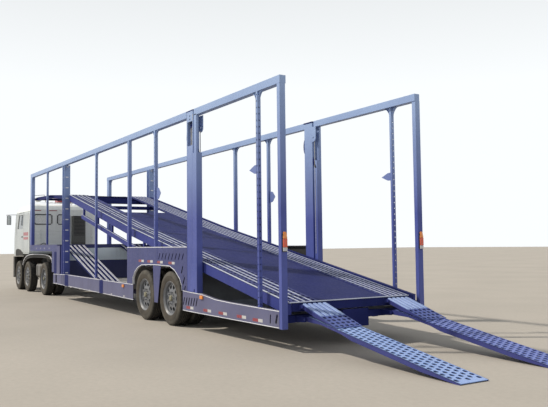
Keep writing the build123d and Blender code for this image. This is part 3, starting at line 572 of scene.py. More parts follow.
def tread(k, j, r):
    # blocks: every third step of the shoulder ribs is cut lower
    if 6 <= j <= 8 or 19 <= j <= 21:
        return r - (0.010 if k % 3 == 0 else 0.0)
    if j in (11, 12, 15, 16):
        return r - (0.008 if (k + j) % 4 == 0 else 0.0)
    return r


def tyre_part(x, y_out, side, dual):
    b = Build()
    for off in ([0.0, 0.32] if dual else [0.0]):
        b.lathe((x, side * y_out, 0.525), side, [(r, d + off) for r, d in TYRE_PROFILE], 120, mod=tread)
    return b


def wall_part(x, y_out, side, dual):
    b = Build()
    b.lathe((x, side * y_out, 0.525), side, [(0.335, 0.0175), (0.370, 0.0070), (0.400, 0.0042), (0.432, 0.0022),
                                             (0.432, 0.0060), (0.400, 0.0080), (0.370, 0.0110), (0.335, 0.0215)], 48)
    return b


def rim_part(x, y_out, side, dual):
    b = Build()
    c = (x, side * y_out, 0.525)
    last = 0.6 if dual else 0.28
    dish = 0.085 if dual else 0.045
    # rim bed with its rolled outer lip
    b.lathe(c, side, [(0.330, 0.020), (0.335, 0.027), (0.328, 0.040), (0.304, 0.050), (0.296, 0.080), (0.296, last - 0.02),
                      (0.286, last - 0.02), (0.286, 0.080), (0.292, 0.044), (0.318, 0.025), (0.324, 0.017)], 60)
    disc_holes(b, c, side, 0.135, 0.290, dish - 0.028, dish - 0.006, 10, 0.014, 0.040, 0.050, 0.216)
    b.lathe(c, side, [(0.020, 0.052), (0.060, 0.050), (0.070, 0.060), (0.074, dish - 0.026), (0.137, dish - 0.028),
                      (0.137, dish - 0.014), (0.020, dish - 0.014)] if dual else
            [(0.020, 0.010), (0.062, 0.010), (0.078, 0.020), (0.086, 0.036), (0.137, dish - 0.028), (0.137, dish - 0.008),
             (0.020, dish - 0.004)], 48)
    for k in range(10):
        t = 2 * math.pi * (k + 0.5) / 10
        p = (c[0] + 0.1125 * math.sin(t), c[1] - side * (dish - 0.030), c[2] + 0.1125 * math.cos(t))
        b.disc(p, (0, side, 0), 0.0125, 0.022, 6)
        b.disc((p[0], p[1] + side * 0.012, p[2]), (0, side, 0), 0.007, 0.026, 6)
    return b


def hub_part(x, y_out, side, dual):
    b = Build()
    c = (x, side * y_out, 0.525)
    dish = 0.085 if dual else 0.045
    b.lathe(c, side, [(0.002, 0.018), (0.040, 0.018), (0.052, 0.026), (0.058, 0.056), (0.058, dish), (0.002, dish)]
            if dual else [(0.002, 0.004), (0.036, 0.004), (0.050, 0.010), (0.056, 0.028), (0.056, dish), (0.002, dish)], 36)
    # the brake drum behind the disc is built by drum_part
    return b


def drum_part(x, y_out, side, dual):
    b = Build()
    dish = 0.085 if dual else 0.045
    b.lathe((x, side * y_out, 0.525), side, [(0.060, dish + 0.030), (0.262, dish + 0.034), (0.270, dish + 0.060),
                                             (0.270, dish + 0.150), (0.060, dish + 0.150)], 40)
    return b


WHEELS = [("trailer_wheel_rear", 4.105, 1.345, True), ("trailer_wheel_front", 5.428, 1.345, True),
          ("drive_wheel", 14.5, 1.245, True), ("second_steer_wheel", 16.8, 1.245, False),
          ("front_steer_wheel", 18.25, 1.245, False)]
for name, x, y_out, dual in WHEELS:
    for tag, side in SIDES:
        node = f"{name}_{tag}"
        piece(f"{node}_tyre", tyre_part(x, y_out, side, dual), node, M["tyre"], replaces=(node,), angle=28)
        piece(f"{node}_rim", rim_part(x, y_out, side, dual), node, M["rim"], angle=30)
        piece(f"{node}_hub", hub_part(x, y_out, side, dual), node, M["hub"], angle=30)
        piece(f"{node}_wall", wall_part(x, y_out, side, dual), node, M["wall"], angle=30)
        piece(f"{node}_drum", drum_part(x, y_out, side, dual), node, M["rubber"], angle=30)


# ------------------------------------------------------------------ upper deck: planked wheel tracks
def deck_bar(b, x0, x1, y0, y1, top, bottom):
    xs = [x0] + ([6.6] if x0 < 6.6 < x1 else []) + [x1]
    b.prism([(x, deck_z(x) - top) for x in xs] + [(x, deck_z(x) - bottom) for x in reversed(xs)], y0, y1)


PLANKS = {"left": [(0.712, 0.826), (0.848, 0.944), (0.966, 1.044), (1.066, 1.226)],
          "right": [(0.560, 0.634), (0.658, 0.732), (0.756, 0.830), (0.854, 0.928), (0.952, 1.026)]}
planks, lips, far_lips, bed = Build(), Build(), Build(), Build()
for tag, side in SIDES:
    for ya, yb in PLANKS[tag]:
        y0, y1 = sorted((side * ya, side * yb))
        rows = 2 if yb - ya > 0.14 else 1
        for xa, xb in ((0.05, 6.6), (6.6, 11.47)):
            n = round((xb - xa) / 0.125)
            u = Vector(((xb - xa) / n, 0, (deck_z(xb) - deck_z(xa)) / n))
            nrm = Vector((-u.z, 0, u.x)).normalized()
            planks.perforated((xa, y0, deck_z(xa) - 0.002), u, (0, (y1 - y0) / rows, 0), nrm, n, rows, 0.32, 0.26, 0.004)
        deck_bar(planks, 0.05, 11.47, y0, y0 + 0.004, 0.006, 0.021)
        deck_bar(planks, 0.05, 11.47, y1 - 0.004, y1, 0.006, 0.021)
        c = side * (yb + 0.001)
        deck_bar(lips if side > 0 else far_lips, 0.045, 11.475, *sorted((c, c + side * (0.018 if side > 0 else 0.013))), -0.004, 0.008)
    a, c = (0.690, 1.181) if side > 0 else (0.548, 1.181)
    deck_bar(bed, 0.05, 11.46, side * a, side * c, 0.032, 0.038)
    if side < 0:
        deck_bar(bed, 0.06, 11.44, side * 1.176, side * 1.244, 0.008, 0.021)
piece("deck_track_planks", planks, "upper_deck", M["track"], replaces=("deck_plates",), angle=30)
piece("deck_track_lips", lips, "upper_deck", M["worn_highlit"], angle=30)
chord = Build()
for side in (1, -1):
    deck_bar(chord, 4.705, 10.295, *sorted((side * 1.222, side * 1.2395)), 0.366, 0.373)
piece("deck_chord_edges", chord, "upper_deck", M["worn_highlit"])
piece("deck_far_lips", far_lips, "upper_deck", M["worn_highlit"], angle=30)
# centre plate in four lengths
for x0, x1 in ((0.05, 2.0), (2.006, 4.0), (4.006, 6.0), (6.006, 8.6)):
    deck_bar(bed, x0, x1, -0.545, 0.690, 0.012, 0.018)
# rear edge: turned-down end plate with a bright lip, partly worn paint and partly painted highlight
bed.box(0.044, 0.052, -1.178, 1.178, 0.568, 0.694)
piece("deck_bed", bed, "upper_deck", M["deck"], angle=30, bevel=0.001)
lip = Build()
lip.box(0.022, 0.052, -1.060, 1.240, 0.690, 0.703)
piece("deck_rear_lip", lip, "upper_deck", M["worn_highlit"], bevel=0.002)
seam = Build()
for x in (2.003, 4.003, 6.003):
    deck_bar(seam, x - 0.004, x + 0.004, -0.54, 0.68, 0.0105, 0.013)
piece("deck_seams", seam, "upper_deck", M["deck"], bevel=0.001)
# weld-on stake pockets along the girders
pock = Build()
for tag, side in SIDES:
    for x in [0.5 + 0.9 * k for k in range(12)]:
        z = deck_z(x)
        pock.box(x, x + 0.05, side * 1.160, side * 1.1805, z - 0.12, z - 0.045)
piece("deck_pockets", pock, "upper_deck", M["deck"], bevel=0.002)


# ------------------------------------------------------------------ ramps and flaps
RW = 0.222
for tag, side in SIDES:
    yc = side * 0.81
    ya, yb = yc - RW, yc + RW
    b, top = Build(), Build()
    xh = -0.16
    flange = [(xh, ramp_z(xh)), (-0.095, 0.488), (-0.070, 0.455), (-0.100, 0.426), (-0.45, ramp_z(-0.45) - 0.042),
              (-0.92, ramp_z(-0.92) - 0.046), (-1.12, ramp_z(-1.12) - 0.072),
              (-2.4, ramp_z(-2.4) - 0.066), (-2.92, 0.0), (-3.0, 0.0), (-3.0, 0.018)]
    b.prism(flange, ya, ya + 0.010)
    b.prism(flange, yb - 0.010, yb)
    u = Vector((0.1014, 0, 0.1014 * 0.496 / 2.9))
    nrm = Vector((-u.z, 0, u.x)).normalized()
    n = 27
    x0 = -2.955
    cw = (2 * RW) / 5
    for row in range(5):
        y = ya + row * cw
        off = 0.5 if row % 2 else 0.0
        o = Vector((x0, y, ramp_z(x0) - 0.0)) + u * off
        top.perforated(o, u, (0, cw, 0), nrm, n - (1 if off else 0), 1, 0.36, 0.36, 0.007, sides=12)
        if off:
            for p, q in ((x0, x0 + 0.0507), (x0 + u.x * (n - 0.5), x0 + u.x * n)):
                top.prism([(p, ramp_z(p)), (q, ramp_z(q)), (q, ramp_z(q) - 0.007), (p, ramp_z(p) - 0.007)], y, y + cw)
    xe = x0 + u.x * n
    for p, q in ((-3.0, x0), (xe, xh)):
        top.prism([(p, ramp_z(p)), (q, ramp_z(q)), (q, ramp_z(q) - 0.007), (p, ramp_z(p) - 0.007)], ya, yb)
    for x in (-0.6, -1.3, -2.0, -2.5):
        z = ramp_z(x) - 0.042
        b.box(x, x + 0.035, ya + 0.009, yb - 0.009, z, z + 0.034)
    # dark sheet under the perforated tread: painted shade that makes the holes dark
    b.prism([(-2.93, ramp_z(-2.93) - 0.022), (-0.18, ramp_z(-0.18) - 0.034), (-0.18, ramp_z(-0.18) - 0.037),
             (-2.93, ramp_z(-2.93) - 0.025)], ya + 0.010, yb - 0.010)
    b.disc((-0.1, yc, 0.455), (0, 1, 0), 0.022, RW + 0.033, 20)
    piece(f"ramp_{tag}_body", b, f"ramp_{tag}", M["flange"], replaces=(f"ramp_{tag}",), bevel=0.0015)
    piece(f"ramp_{tag}_tread", top, f"ramp_{tag}", M["ramp" if side > 0 else "ramp_far_shaded"], angle=30)
    fb, ft, fr = Build(), Build(), Build()
    xk, zk, xz, zz = -0.443, 0.526, -0.810, 0.406
    fl = [(0.016, 0.662), (0.016, 0.606), (-0.3, 0.503), (xz, zz - 0.009), (xz, zz), (xk, zk)]
    fb.prism(fl, ya, ya + 0.009)
    fb.prism(fl, yb - 0.009, yb)
    fb.disc((-0.018, yc, 0.640), (0, 1, 0), 0.014, RW + 0.024, 16)
    fb.box(-0.022, 0.016, ya + 0.009, yb - 0.009, 0.628, 0.652)
    # dark sheet under the flap's perforated tread: painted shade that makes the holes dark
    fb.prism([(-0.02, 0.630), (xk, zk - 0.030), (-0.70, 0.418), (-0.70, 0.415), (xk, zk - 0.033), (-0.02, 0.627)],
             ya + 0.009, yb - 0.009)
    for (xa, za), (xb, zb), n in (((xz, zz), (xk, zk), 4), ((xk, zk), (0.016, 0.664), 5)):
        u = Vector(((xb - xa) / n, 0, (zb - za) / n))
        nrm = Vector((-u.z, 0, u.x)).normalized()
        if n == 4:
            ft.perforated((xa, ya, za), u, (0, cw, 0), nrm, n, 5, 0.33, 0.34, 0.007, sides=12)
        else:
            ft.perforated((xa, ya, za), u, (0, cw, 0), nrm, n, 5, 0.24, 0.19, 0.007)
            for k in range(5):
                y = ya + (k + 0.5) * cw
                e = nrm * 0.014
                fr.hexa([(xa, y - 0.030, za), (xb, y - 0.030, zb), (xb, y + 0.030, zb), (xa, y + 0.030, za)],
                        [(xa + e.x + 0.02, y - 0.024, za + e.z + 0.004), (xb + e.x, y - 0.024, zb + e.z),
                         (xb + e.x, y + 0.024, zb + e.z), (xa + e.x + 0.02, y + 0.024, za + e.z + 0.004)])
    piece(f"flap_{tag}_ribs", fr, f"flap_{tag}", M["rib"], bevel=0.002)
    piece(f"flap_{tag}_body", fb, f"flap_{tag}", M["flange"], replaces=(f"ramp_flap_{tag}",), bevel=0.0015)
    piece(f"flap_{tag}_tread", ft, f"flap_{tag}", M["flap"], angle=30)


# ------------------------------------------------------------------ cages
def tube(b, x0, x1, y0, y1, z0, z1, holes=(), pitch=0.1, r=0.011, t=0.005):
    # square tube along z; holes names the faces with a line of round holes: "rear", "out"
    y0, y1 = min(y0, y1), max(y0, y1)
    n = max(1, round((z1 - z0) / pitch))
    dz = (z1 - z0) / n
    if "rear" in holes:
        b.perforated((x0, y0, z0), (0, 0, dz), (0, y1 - y0, 0), (-1, 0, 0), n, 1, r / dz, r / (y1 - y0), t)
    else:
        b.box(x0, x0 + t, y0, y1, z0, z1)
    b.box(x1 - t, x1, y0, y1, z0, z1)
    outer, inner = ((y1 - t, y1), (y0, y0 + t)) if y0 + y1 > 0 else ((y0, y0 + t), (y1 - t, y1))
    if "out" in holes:
        yf = y1 if y0 + y1 > 0 else y0
        nrm = (0, 1, 0) if yf > 0 else (0, -1, 0)
        b.perforated((x0 + t, yf, z0), (0, 0, dz), (x1 - x0 - 2 * t, 0, 0), nrm, n, 1, r / dz, r / (x1 - x0 - 2 * t), t)
    else:
        b.box(x0 + t, x1 - t, *outer, z0, z1)
    b.box(x0 + t, x1 - t, *inner, z0, z1)
    b.box(x0 + t, x1 - t, y0 + t, y1 - t, z1 - t, z1)


def gusset(b, x, y0, y1, z, sx, sz, d):
    # curved bracket under a rail at x, reaching sx along it (d is +1 or -1) and sz down the post
    arc = []
    for k in range(9):
        t = math.pi / 2 * k / 8
        arc.append((x + d * (sx - sx * math.sin(t)), z - sz + sz * math.cos(t)))
    inner = [(x + d * (sx * 0.80 - sx * 0.80 * math.sin(math.pi / 2 * k / 8)), z - 0.012 - sz + sz * math.cos(math.pi / 2 * k / 8) * 0.98)
             for k in range(8, -1, -1)]
    b.prism([(x, z)] + arc, (y0 + y1) / 2 - 0.003, (y0 + y1) / 2 + 0.003)
    pts = arc
    for p, q in zip(pts, pts[1:]):
        b.hexa([(p[0], y0, p[1]), (q[0], y0, q[1]), (q[0], y1, q[1]), (p[0], y1, p[1])],
               [(p[0] - d * 0.004, y0, p[1] + 0.004), (q[0] - d * 0.004, y0, q[1] + 0.004),
                (q[0] - d * 0.004, y1, q[1] + 0.004), (p[0] - d * 0.004, y1, p[1] + 0.004)])


H = 1.375
FRONT = [  # x0, x1, width across, foot, faces with holes
    (13.52, 13.58, 0.054, 1.61, ("rear", "out")), (8.61, 8.67, 0.054, 0.76, ("rear",)),
    (6.26, 6.33, 0.075, 1.515, ()), (4.73, 4.79, 0.065, 1.515, ("out",))]
for tag, side in SIDES:
    def yy(a, b):
        return sorted((side * a, side * b))
    b = Build()
    b.box(3.21, 15.76, *yy(1.267, 1.375), 3.88, 4.0)
    for x0, x1, w, z0, holes in FRONT:
        tube(b, x0, x1, *yy(H - w, H), z0, 3.88, holes)
    # front post: broad tube
    tube(b, 15.56, 15.76, *yy(H - 0.102, H), 1.61, 3.88, t=0.006)
    # ladder post: channel open outwards, with rungs
    b.box(11.545, 11.575, *yy(1.202, H), 0.44, 3.88)
    b.box(11.715, 11.745, *yy(1.202, H), 0.44, 3.88)
    for z0, z1 in ((0.44, 2.865), (2.935, 3.88)):
        b.box(11.575, 11.715, *yy(1.285, 1.295), z0, z1)
    piece(f"front_cage_{tag}_tubes", b, "trailer", M["cage"], replaces=(f"front_cage_{tag}",),
          bevel=0.0035, segments=2)
    rung = Build()
    for k in range(11):
        z = 0.802 + 0.3035 * k
        rung.box(11.534, 11.546, *yy(1.250, 1.334), z - 0.014, z + 0.016)
        rung.box(11.575, 11.715, *yy(1.330, 1.345), z - 0.008, z + 0.010)
    piece(f"ladder_rungs_{tag}", rung, "trailer", M["bright"], bevel=0.003)
    g = Build()
    for x0, x1, w, z0, holes in FRONT:
        gusset(g, x0, *yy(H - 0.048, H - 0.008), 3.88, 0.17, 0.20, -1)
        gusset(g, x1, *yy(H - 0.048, H - 0.008), 3.88, 0.17, 0.20, 1)
    gusset(g, 15.56, *yy(H - 0.048, H - 0.008), 3.88, 0.17, 0.20, -1)
    gusset(g, 11.545, *yy(H - 0.048, H - 0.008), 3.88, 0.17, 0.20, -1)
    gusset(g, 11.745, *yy(H - 0.048, H - 0.008), 3.88, 0.17, 0.20, 1)
    gusset(g, 0.690, *yy(H - 0.048, H - 0.008), 3.88, 0.15, 0.19, 1)
    gusset(g, 0.635, *yy(H - 0.048, H - 0.008), 3.88, 0.15, 0.19, -1)
    # arrow plates on two posts
    for x, z, s in ((0.690, 2.69, 0.26), (3.0 + 1.79, 2.58, 0.0)):
        if s:
            g.prism([(x, z - 0.07), (x, z + 0.07), (x + 0.10, z + 0.065), (x + s, z), (x + 0.10, z - 0.065)],
                    *yy(H - 0.034, H - 0.026))
    g.prism([(4.73, 2.46), (4.73, 2.72), (4.60, 2.70), (4.50, 2.59), (4.60, 2.48)], *yy(H - 0.034, H - 0.026))
    piece(f"gussets_{tag}", g, "trailer", M["cage"], bevel=0.001)

    # rear cage
    b = Build()
    b.box(0.0, 2.895, *yy(1.267, 1.375), 3.88, 4.0)
    tube(b, 0.635, 0.690, *yy(H - 0.059, H), 0.59, 3.88, ("rear", "out"))
    tube(b, 0.0, 0.08, *yy(H - 0.097, H), 0.325, 3.88, t=0.006)
    # hoist column: channel with a deep slot near its top
    b.box(2.925, 2.955, *yy(1.251, H), 0.705, 4.0)
    b.box(3.170, 3.200, *yy(1.251, H), 0.705, 4.0)
    b.box(2.955, 3.170, *yy(1.251, 1.263), 0.705, 4.0)
    b.box(2.955, 3.170, *yy(1.365, H), 0.705, 3.22)
    b.box(2.955, 3.170, *yy(1.365, H), 3.79, 4.0)
    b.box(2.955, 3.170, *yy(1.263, 1.365), 3.988, 4.0)
    # post in front of the slot
    b.box(2.795, 2.895, *yy(1.262, H), 0.69, 3.20)
    b.box(2.795, 2.895, *yy(1.330, H), 3.20, 3.90)
    b.box(2.890, 2.930, *yy(1.332, H), 0.76, 3.20)
    # rounded end plate of the rear rail, with its pin hole
    cy = [(2.87 + 0.085 * math.cos(a), 3.66 + 0.085 * math.sin(a)) for a in [math.pi + math.pi * k / 12 for k in range(13)]]
    outline = cy + [(2.955, 3.88), (2.785, 3.88)]
    hole = [(2.87 + 0.017 * math.cos(a), 3.66 + 0.017 * math.sin(a)) for a in [2 * math.pi * k / 14 for k in range(14)]]
    lo, hi = yy(1.235, 1.249)
    b.plate(outline, [hole], lo, hi)
    b.box(2.958, 3.172, *yy(1.366, H), 3.215, 3.352)
    piece(f"rear_cage_{tag}_tubes", b, "trailer", M["cage"], replaces=(f"rear_cage_{tag}",),
          bevel=0.0035, segments=2)
    # cap and sheave plates on the column, hoist rod and chain in its slot
    d = Build()
    d.box(2.915, 3.215, *yy(1.243, 1.3752), 3.975, 3.999)
    arc = [(3.20 + 0.075 * math.sin(math.pi * k / 10), 3.52 + 0.17 * math.cos(math.pi * k / 10)) for k in range(11)]
    d.prism(arc, *yy(1.275, 1.345))
    d.disc((3.06, side * 1.31, 3.70), (0, 1, 0), 0.085, 0.018, 28)
    d.disc((3.06, side * 1.31, 3.70), (0, 1, 0), 0.022, 0.045, 14)
    d.prism([(2.80, 3.05), (2.87, 3.05), (2.99, 3.28), (2.92, 3.28)], *yy(1.262, 1.27))
    piece(f"hoist_head_{tag}", d, "trailer", M["deck"], bevel=0.003)
    br = Build()
    br.prism([(2.93, 3.80), (3.19, 3.80), (3.19, 3.90), (3.15, 3.93), (2.97, 3.93), (2.93, 3.90)], *yy(1.3735, 1.3748))
    rod_x = 2.987
    for x in (3.035, 3.085):
        br.pipe([(x, side * 1.335, 1.3), (x, side * 1.335, 3.70)], 0.010, 10)
    br.pipe([(2.86, side * 1.263, 1.35), (2.86, side * 1.263, 3.60)], 0.0085, 10)
    for z in [3.24 + 0.03 * k for k in range(14)]:
        br.box(3.028, 3.042, *yy(1.322, 1.347), z, z + 0.016)
    piece(f"hoist_rods_{tag}", br, "trailer", M["steel"], bevel=0.001)
    pin = Build()
    for z in (3.835, 3.895):
        pin.disc((3.06, side * 1.3747, z), (0, 1, 0), 0.016, 0.0003, 14)
    piece(f"hoist_bolts_{tag}", pin, "trailer", M["trim"])


# ------------------------------------------------------------------ skirts and fender panels
def strip(b, pts, y0, y1, t):
    # flange along a chain of (x, z) points, t thick below it (negative: above)
    for (xa, za), (xb, zb) in zip(pts, pts[1:]):
        b.prism([(xa, za), (xb, zb), (xb, zb - t), (xa, za - t)], y0, y1)


def slot_poly(x, z, lean, h, w, n=5):
    # leaning slot with rounded ends: x, z is its lower end, it leans back by lean over height h
    d = math.hypot(lean, h)
    ux, uz = -lean / d, h / d
    px, pz = uz, -ux
    out = []
    for k in range(n + 1):
        a = math.pi * k / n
        out.append((x + px * w * math.cos(a) - ux * w * math.sin(a), z + pz * w * math.cos(a) - uz * w * math.sin(a)))
    for k in range(n + 1):
        a = math.pi + math.pi * k / n
        out.append((x - lean + px * w * math.cos(a) - ux * w * math.sin(a), z + h + pz * w * math.cos(a) - uz * w * math.sin(a)))
    return out


FRONT_TOP = [(5.98, 0.718), (8.10, 0.732), (11.08, 0.764), (12.70, 0.742)]
FRONT_LOW = [(5.98, 0.380), (12.70, 0.462)]
REAR_TOP = [(0.085, 0.585), (1.6, 0.612), (2.1, 0.630), (2.63, 0.690), (3.09, 0.700), (3.40, 0.714)]
REAR_LOW = [(0.085, 0.335), (3.20, 0.345), (3.40, 0.350)]
ARCH = [(6.0, 0.725), (5.99, 0.850), (5.88, 0.985), (5.71, 1.085), (5.47, 1.150), (4.85, 1.165),
        (4.775, 0.41), (4.605, 0.41), (4.44, 1.165), (4.0, 1.155), (3.76, 1.08), (3.53, 0.93), (3.44, 0.815),
        (3.43, 0.716)]
LIP = [(6.0, 0.725), (5.985, 0.86), (5.87, 0.99), (5.71, 1.085), (5.47, 1.150), (4.96, 1.165), (4.56, 1.165),
       (4.0, 1.155), (3.76, 1.08), (3.53, 0.93), (3.445, 0.815), (3.43, 0.72)]
skirt, edge, fend, lipb, inner, slot_shade = Build(), Build(), Build(), Build(), Build(), Build()
for tag, side in SIDES:
    def yy(a, b):
        return sorted((side * a, side * b))
    lo, hi = yy(1.367, H)
    skirt.plate(FRONT_TOP + FRONT_LOW[::-1], [], lo, hi)
    slots = [slot_poly(3.372 - 0.106 * k, 0.462 + 0.002 * k, 0.048, 0.118, 0.018) for k in range(6)]
    slots += [slot_poly(0.172, 0.415, 0.030, 0.095, 0.024), slot_poly(0.335, 0.395, 0.012, 0.110, 0.015)]
    def top_z(x):
        for (xa, za), (xb, zb) in zip(REAR_TOP, REAR_TOP[1:]):
            if xa <= x <= xb:
                return za + (zb - za) * (x - xa) / (xb - xa)
    lengths = [(0.085, 0.62, 0.335, 0.3368), (0.62, 2.74, 0.3368, 0.3435), (2.74, 3.40, 0.3435, 0.350)]
    for x0, x1, za, zb in lengths:
        face = [(x0, za), (x1, zb), (x1, top_z(x1))] + [p for p in reversed(REAR_TOP) if x0 < p[0] < x1] + [(x0, top_z(x0))]
        skirt.plate(face, [h for h in slots if x0 < h[0][0] < x1], lo, hi)
    for pts, t in ((FRONT_TOP, 0.012), (REAR_TOP, 0.012), (FRONT_LOW, -0.012), (REAR_LOW, -0.012)):
        strip(skirt, pts, *yy(1.316, 1.3665), t)
        strip(edge, pts, *yy(1.366, 1.3752), 0.013 if t > 0 else -0.013)
    skirt.box(12.688, 12.70, *yy(1.316, 1.3665), 0.47, 0.73)
    skirt.box(3.390, 3.40, *yy(1.316, 1.3665), 0.36, 0.70)
    for x in (0.70, 1.55, 2.35, 6.95, 7.95, 8.95, 9.95, 10.95, 11.95):
        skirt.box(x, x + 0.05, *yy(1.330, 1.3665), 0.40 if x < 4 else 0.46, 0.575 if x < 4 else 0.70)
    # pressed stiffeners on the front skirt's face
    for x in (8.05, 10.45):
        skirt.box(x, x + 0.16, *yy(1.3748, 1.3758), 0.47, 0.66)
    lo, hi = yy(1.3665, H)
    louv = [slot_poly(3.43 + 0.160 * k, 1.278, 0.062, 0.102, 0.015) for k in range(8)]
    louv += [slot_poly(3.455, 1.035, 0.05, 0.105, 0.019), slot_poly(3.385, 0.835, 0.06, 0.105, 0.020),
             slot_poly(3.318, 0.735, 0.03, 0.05, 0.019)]
    fend.plate([(3.40, 0.716), (3.21, 0.708), (3.21, 1.515), (6.35, 1.515), (6.35, 0.725)] + ARCH, louv, lo, hi)
    lipb.box(3.21, 6.35, *yy(1.300, 1.3775), 1.503, 1.516)
    strip(lipb, LIP, *yy(1.335, 1.384), 0.012)
    # ribs of the centre divider, and black sheets behind the louvres and slots standing for the inner wheel housing
    # seen above the tyres: painted shade that makes the openings dark
    inner.box(4.655, 4.735, *yy(1.350, 1.366), 0.43, 1.165)
    slot_shade.box(3.215, 3.42, *yy(1.352, 1.356), 0.72, 1.200)
    slot_shade.box(3.26, 4.69, *yy(1.352, 1.356), 1.20, 1.500)
    slot_shade.box(2.76, 3.385, *yy(1.352, 1.356), 0.40, 0.64)
    for x in (4.618,):
        inner.box(x, x + 0.010, *yy(1.3745, 1.3775), 1.17, 1.50)
piece("skirt_skins", skirt, "trailer", M["skirt"], replaces=("side_skirts",), bevel=0.001)
piece("skirt_edges", edge, "trailer", M["bright"], bevel=0.001)
# feet of two posts that lap over the skirt
lap = Build()
for side in (1, -1):
    for xa, xb, za, zb in ((11.06, 11.44, 0.444, 0.758), (8.02, 8.30, 0.409, 0.727)):
        lap.box(xa, xb, *sorted((side * 1.3740, side * 1.3772)), za, zb)
piece("skirt_post_feet", lap, "trailer", M["deck"])
piece("fender_skins", fend, "trailer", M["blue"], replaces=("fender_panels",), bevel=0.0008)
piece("fender_lips", lipb, "trailer", M["bright"], bevel=0.003, segments=2)
piece("fender_ribs", inner, "trailer", M["deck"], bevel=0.002)
piece("slot_shade_sheets", slot_shade, "trailer", M["rubber"], bevel=0.0)

# reflective markings in pairs, marker lamps, panel bolts
red, wht, mark = Build(), Build(), Build()
for tag, side in SIDES:
    def yy(a, b):
        return sorted((side * a, side * b))
    for x, z in ((5.412, 1.226), (4.921, 1.222), (4.402, 1.214), (3.830, 1.206), (3.01, 0.418), (2.313, 0.418),
                 (1.74, 0.415), (1.111, 0.412), (0.611, 0.402)):
        wht.box(x - 0.065, x + 0.065, *yy(1.3748, 1.3768), z - 0.024, z + 0.024)
        red.box(x + 0.070, x + 0.230, *yy(1.3748, 1.3768), z - 0.024, z + 0.024)
    for k in range(6):
        x = 6.55 + 0.85 * k
        wht.box(x - 0.045, x + 0.045, *yy(1.3748, 1.3762), 0.415, 0.445)
    for x, z in ((6.58, 0.655), (2.60, 0.632)):
        mark.box(x - 0.055, x + 0.055, *yy(1.374, 1.400), z - 0.032, z + 0.032)
    for x in (14.837, 14.31, 13.778, 13.194):
        wht.disc((x, side * 1.3755, 1.497), (0, 1, 0), 0.024, 0.003, 16)
piece("reflectors_red", red, "trailer", M["lens_red"], bevel=0.0008)
piece("reflectors_white", wht, "trailer", M["lens_white"], bevel=0.0008)
piece("marker_lamps", mark, "trailer", M["marker"], bevel=0.008, segments=3)

# tall rear lamps: amber, red and clear lenses in a dark frame
amb, redl, clr, frm = Build(), Build(), Build(), Build()
for tag, side in SIDES:
    def yy(a, b):
        return sorted((side * a, side * b))
    frm.box(-0.018, -0.001, *yy(1.289, 1.364), 1.430, 1.690)
    clr.box(-0.034, -0.016, *yy(1.294, 1.359), 1.438, 1.492)
    redl.box(-0.036, -0.016, *yy(1.293, 1.360), 1.494, 1.618)
    a = [(-0.036, 1.620), (-0.016, 1.620), (-0.010, 1.716), (-0.020, 1.716)]
    amb.hexa([(-0.036, side * 1.293, 1.620), (-0.036, side * 1.360, 1.620), (-0.012, side * 1.360, 1.620), (-0.012, side * 1.293, 1.620)],
             [(-0.026, side * 1.306, 1.718), (-0.026, side * 1.346, 1.718), (-0.004, side * 1.350, 1.718), (-0.004, side * 1.302, 1.718)])
piece("lamp_frames", frm, "trailer", M["trim"], replaces=("rear_lamps",), bevel=0.003)
piece("lamp_amber", amb, "trailer", M["marker"], bevel=0.004, segments=2)
piece("lamp_red", redl, "trailer", M["lens"], bevel=0.004, segments=2)
piece("lamp_clear", clr, "trailer", M["lens_white"], bevel=0.003, segments=2)

# ------------------------------------------------------------------ well, gooseneck and rear end details
w, wb = Build(), Build()
for side in (1, -1):
    # two bright edges on each bar of the wheel tracks, and cleats across it
    for k in range(5):
        y = side * (0.604 + k * 0.1294)
        n = 26
        for i in range(n):
            x = 9.3 + 2.9 * i / n
            z = 0.600 + (x - 9.02) * (1.58 - 0.600) / (12.29 - 9.02)
            w.box(x, x + 0.014, y - 0.0235, y + 0.0235, z - 0.010, z + 0.001)
        zt = (1.58 - 0.600) / (12.29 - 9.02)
        for dy in (-0.017, 0.017):
            wb.prism([(9.03, 0.604), (12.285, 0.604 + 3.255 * zt), (12.285, 0.616 + 3.255 * zt), (9.03, 0.616)], y + dy - 0.0065, y + dy + 0.0065)
piece("well_track_cleats", w, "trailer", M["deck"], bevel=0.001)
piece("well_track_edges", wb, "trailer", M["bright"], bevel=0.001)
r = Build()
for k in range(21):
    r.box(0.75 + 0.112 * k, 0.779 + 0.112 * k, -1.16, 1.16, 0.507, 0.516)
piece("lower_deck_ribs", r, "trailer", M["worn_highlit"])
# near-white plate on the gooseneck's rear face: painted sunlight standing for sunlit ground seen through
p = Build()
p.box(12.290, 12.298, -1.10, 1.10, 1.13, 1.50)
piece("well_painted_sunlight_plate", p, "trailer", M["sunlit_patch"], bevel=0.002)
g = Build()
for side in (1, -1):
    def yy(a, b):
        return sorted((side * a, side * b))
    g.box(11.99, 12.30, *yy(1.372, 1.3765), 0.745, 1.575)      # lighter strip on the leg block
    g.box(12.90, 15.70, *yy(1.374, 1.379), 1.592, 1.612)
piece("gooseneck_trim", g, "trailer", M["skirt"], bevel=0.002)
# dark patches standing for recesses in the gooseneck side: painted shade
g = Build()
for side in (1, -1):
    g.box(12.32, 12.60, *sorted((side * 1.3725, side * 1.3765)), 0.745, 1.40)
    g.box(11.76, 11.97, *sorted((side * 1.300, side * 1.352)), 0.745, 1.56)
piece("gooseneck_recess_shade", g, "trailer", M["deck"], bevel=0.002)

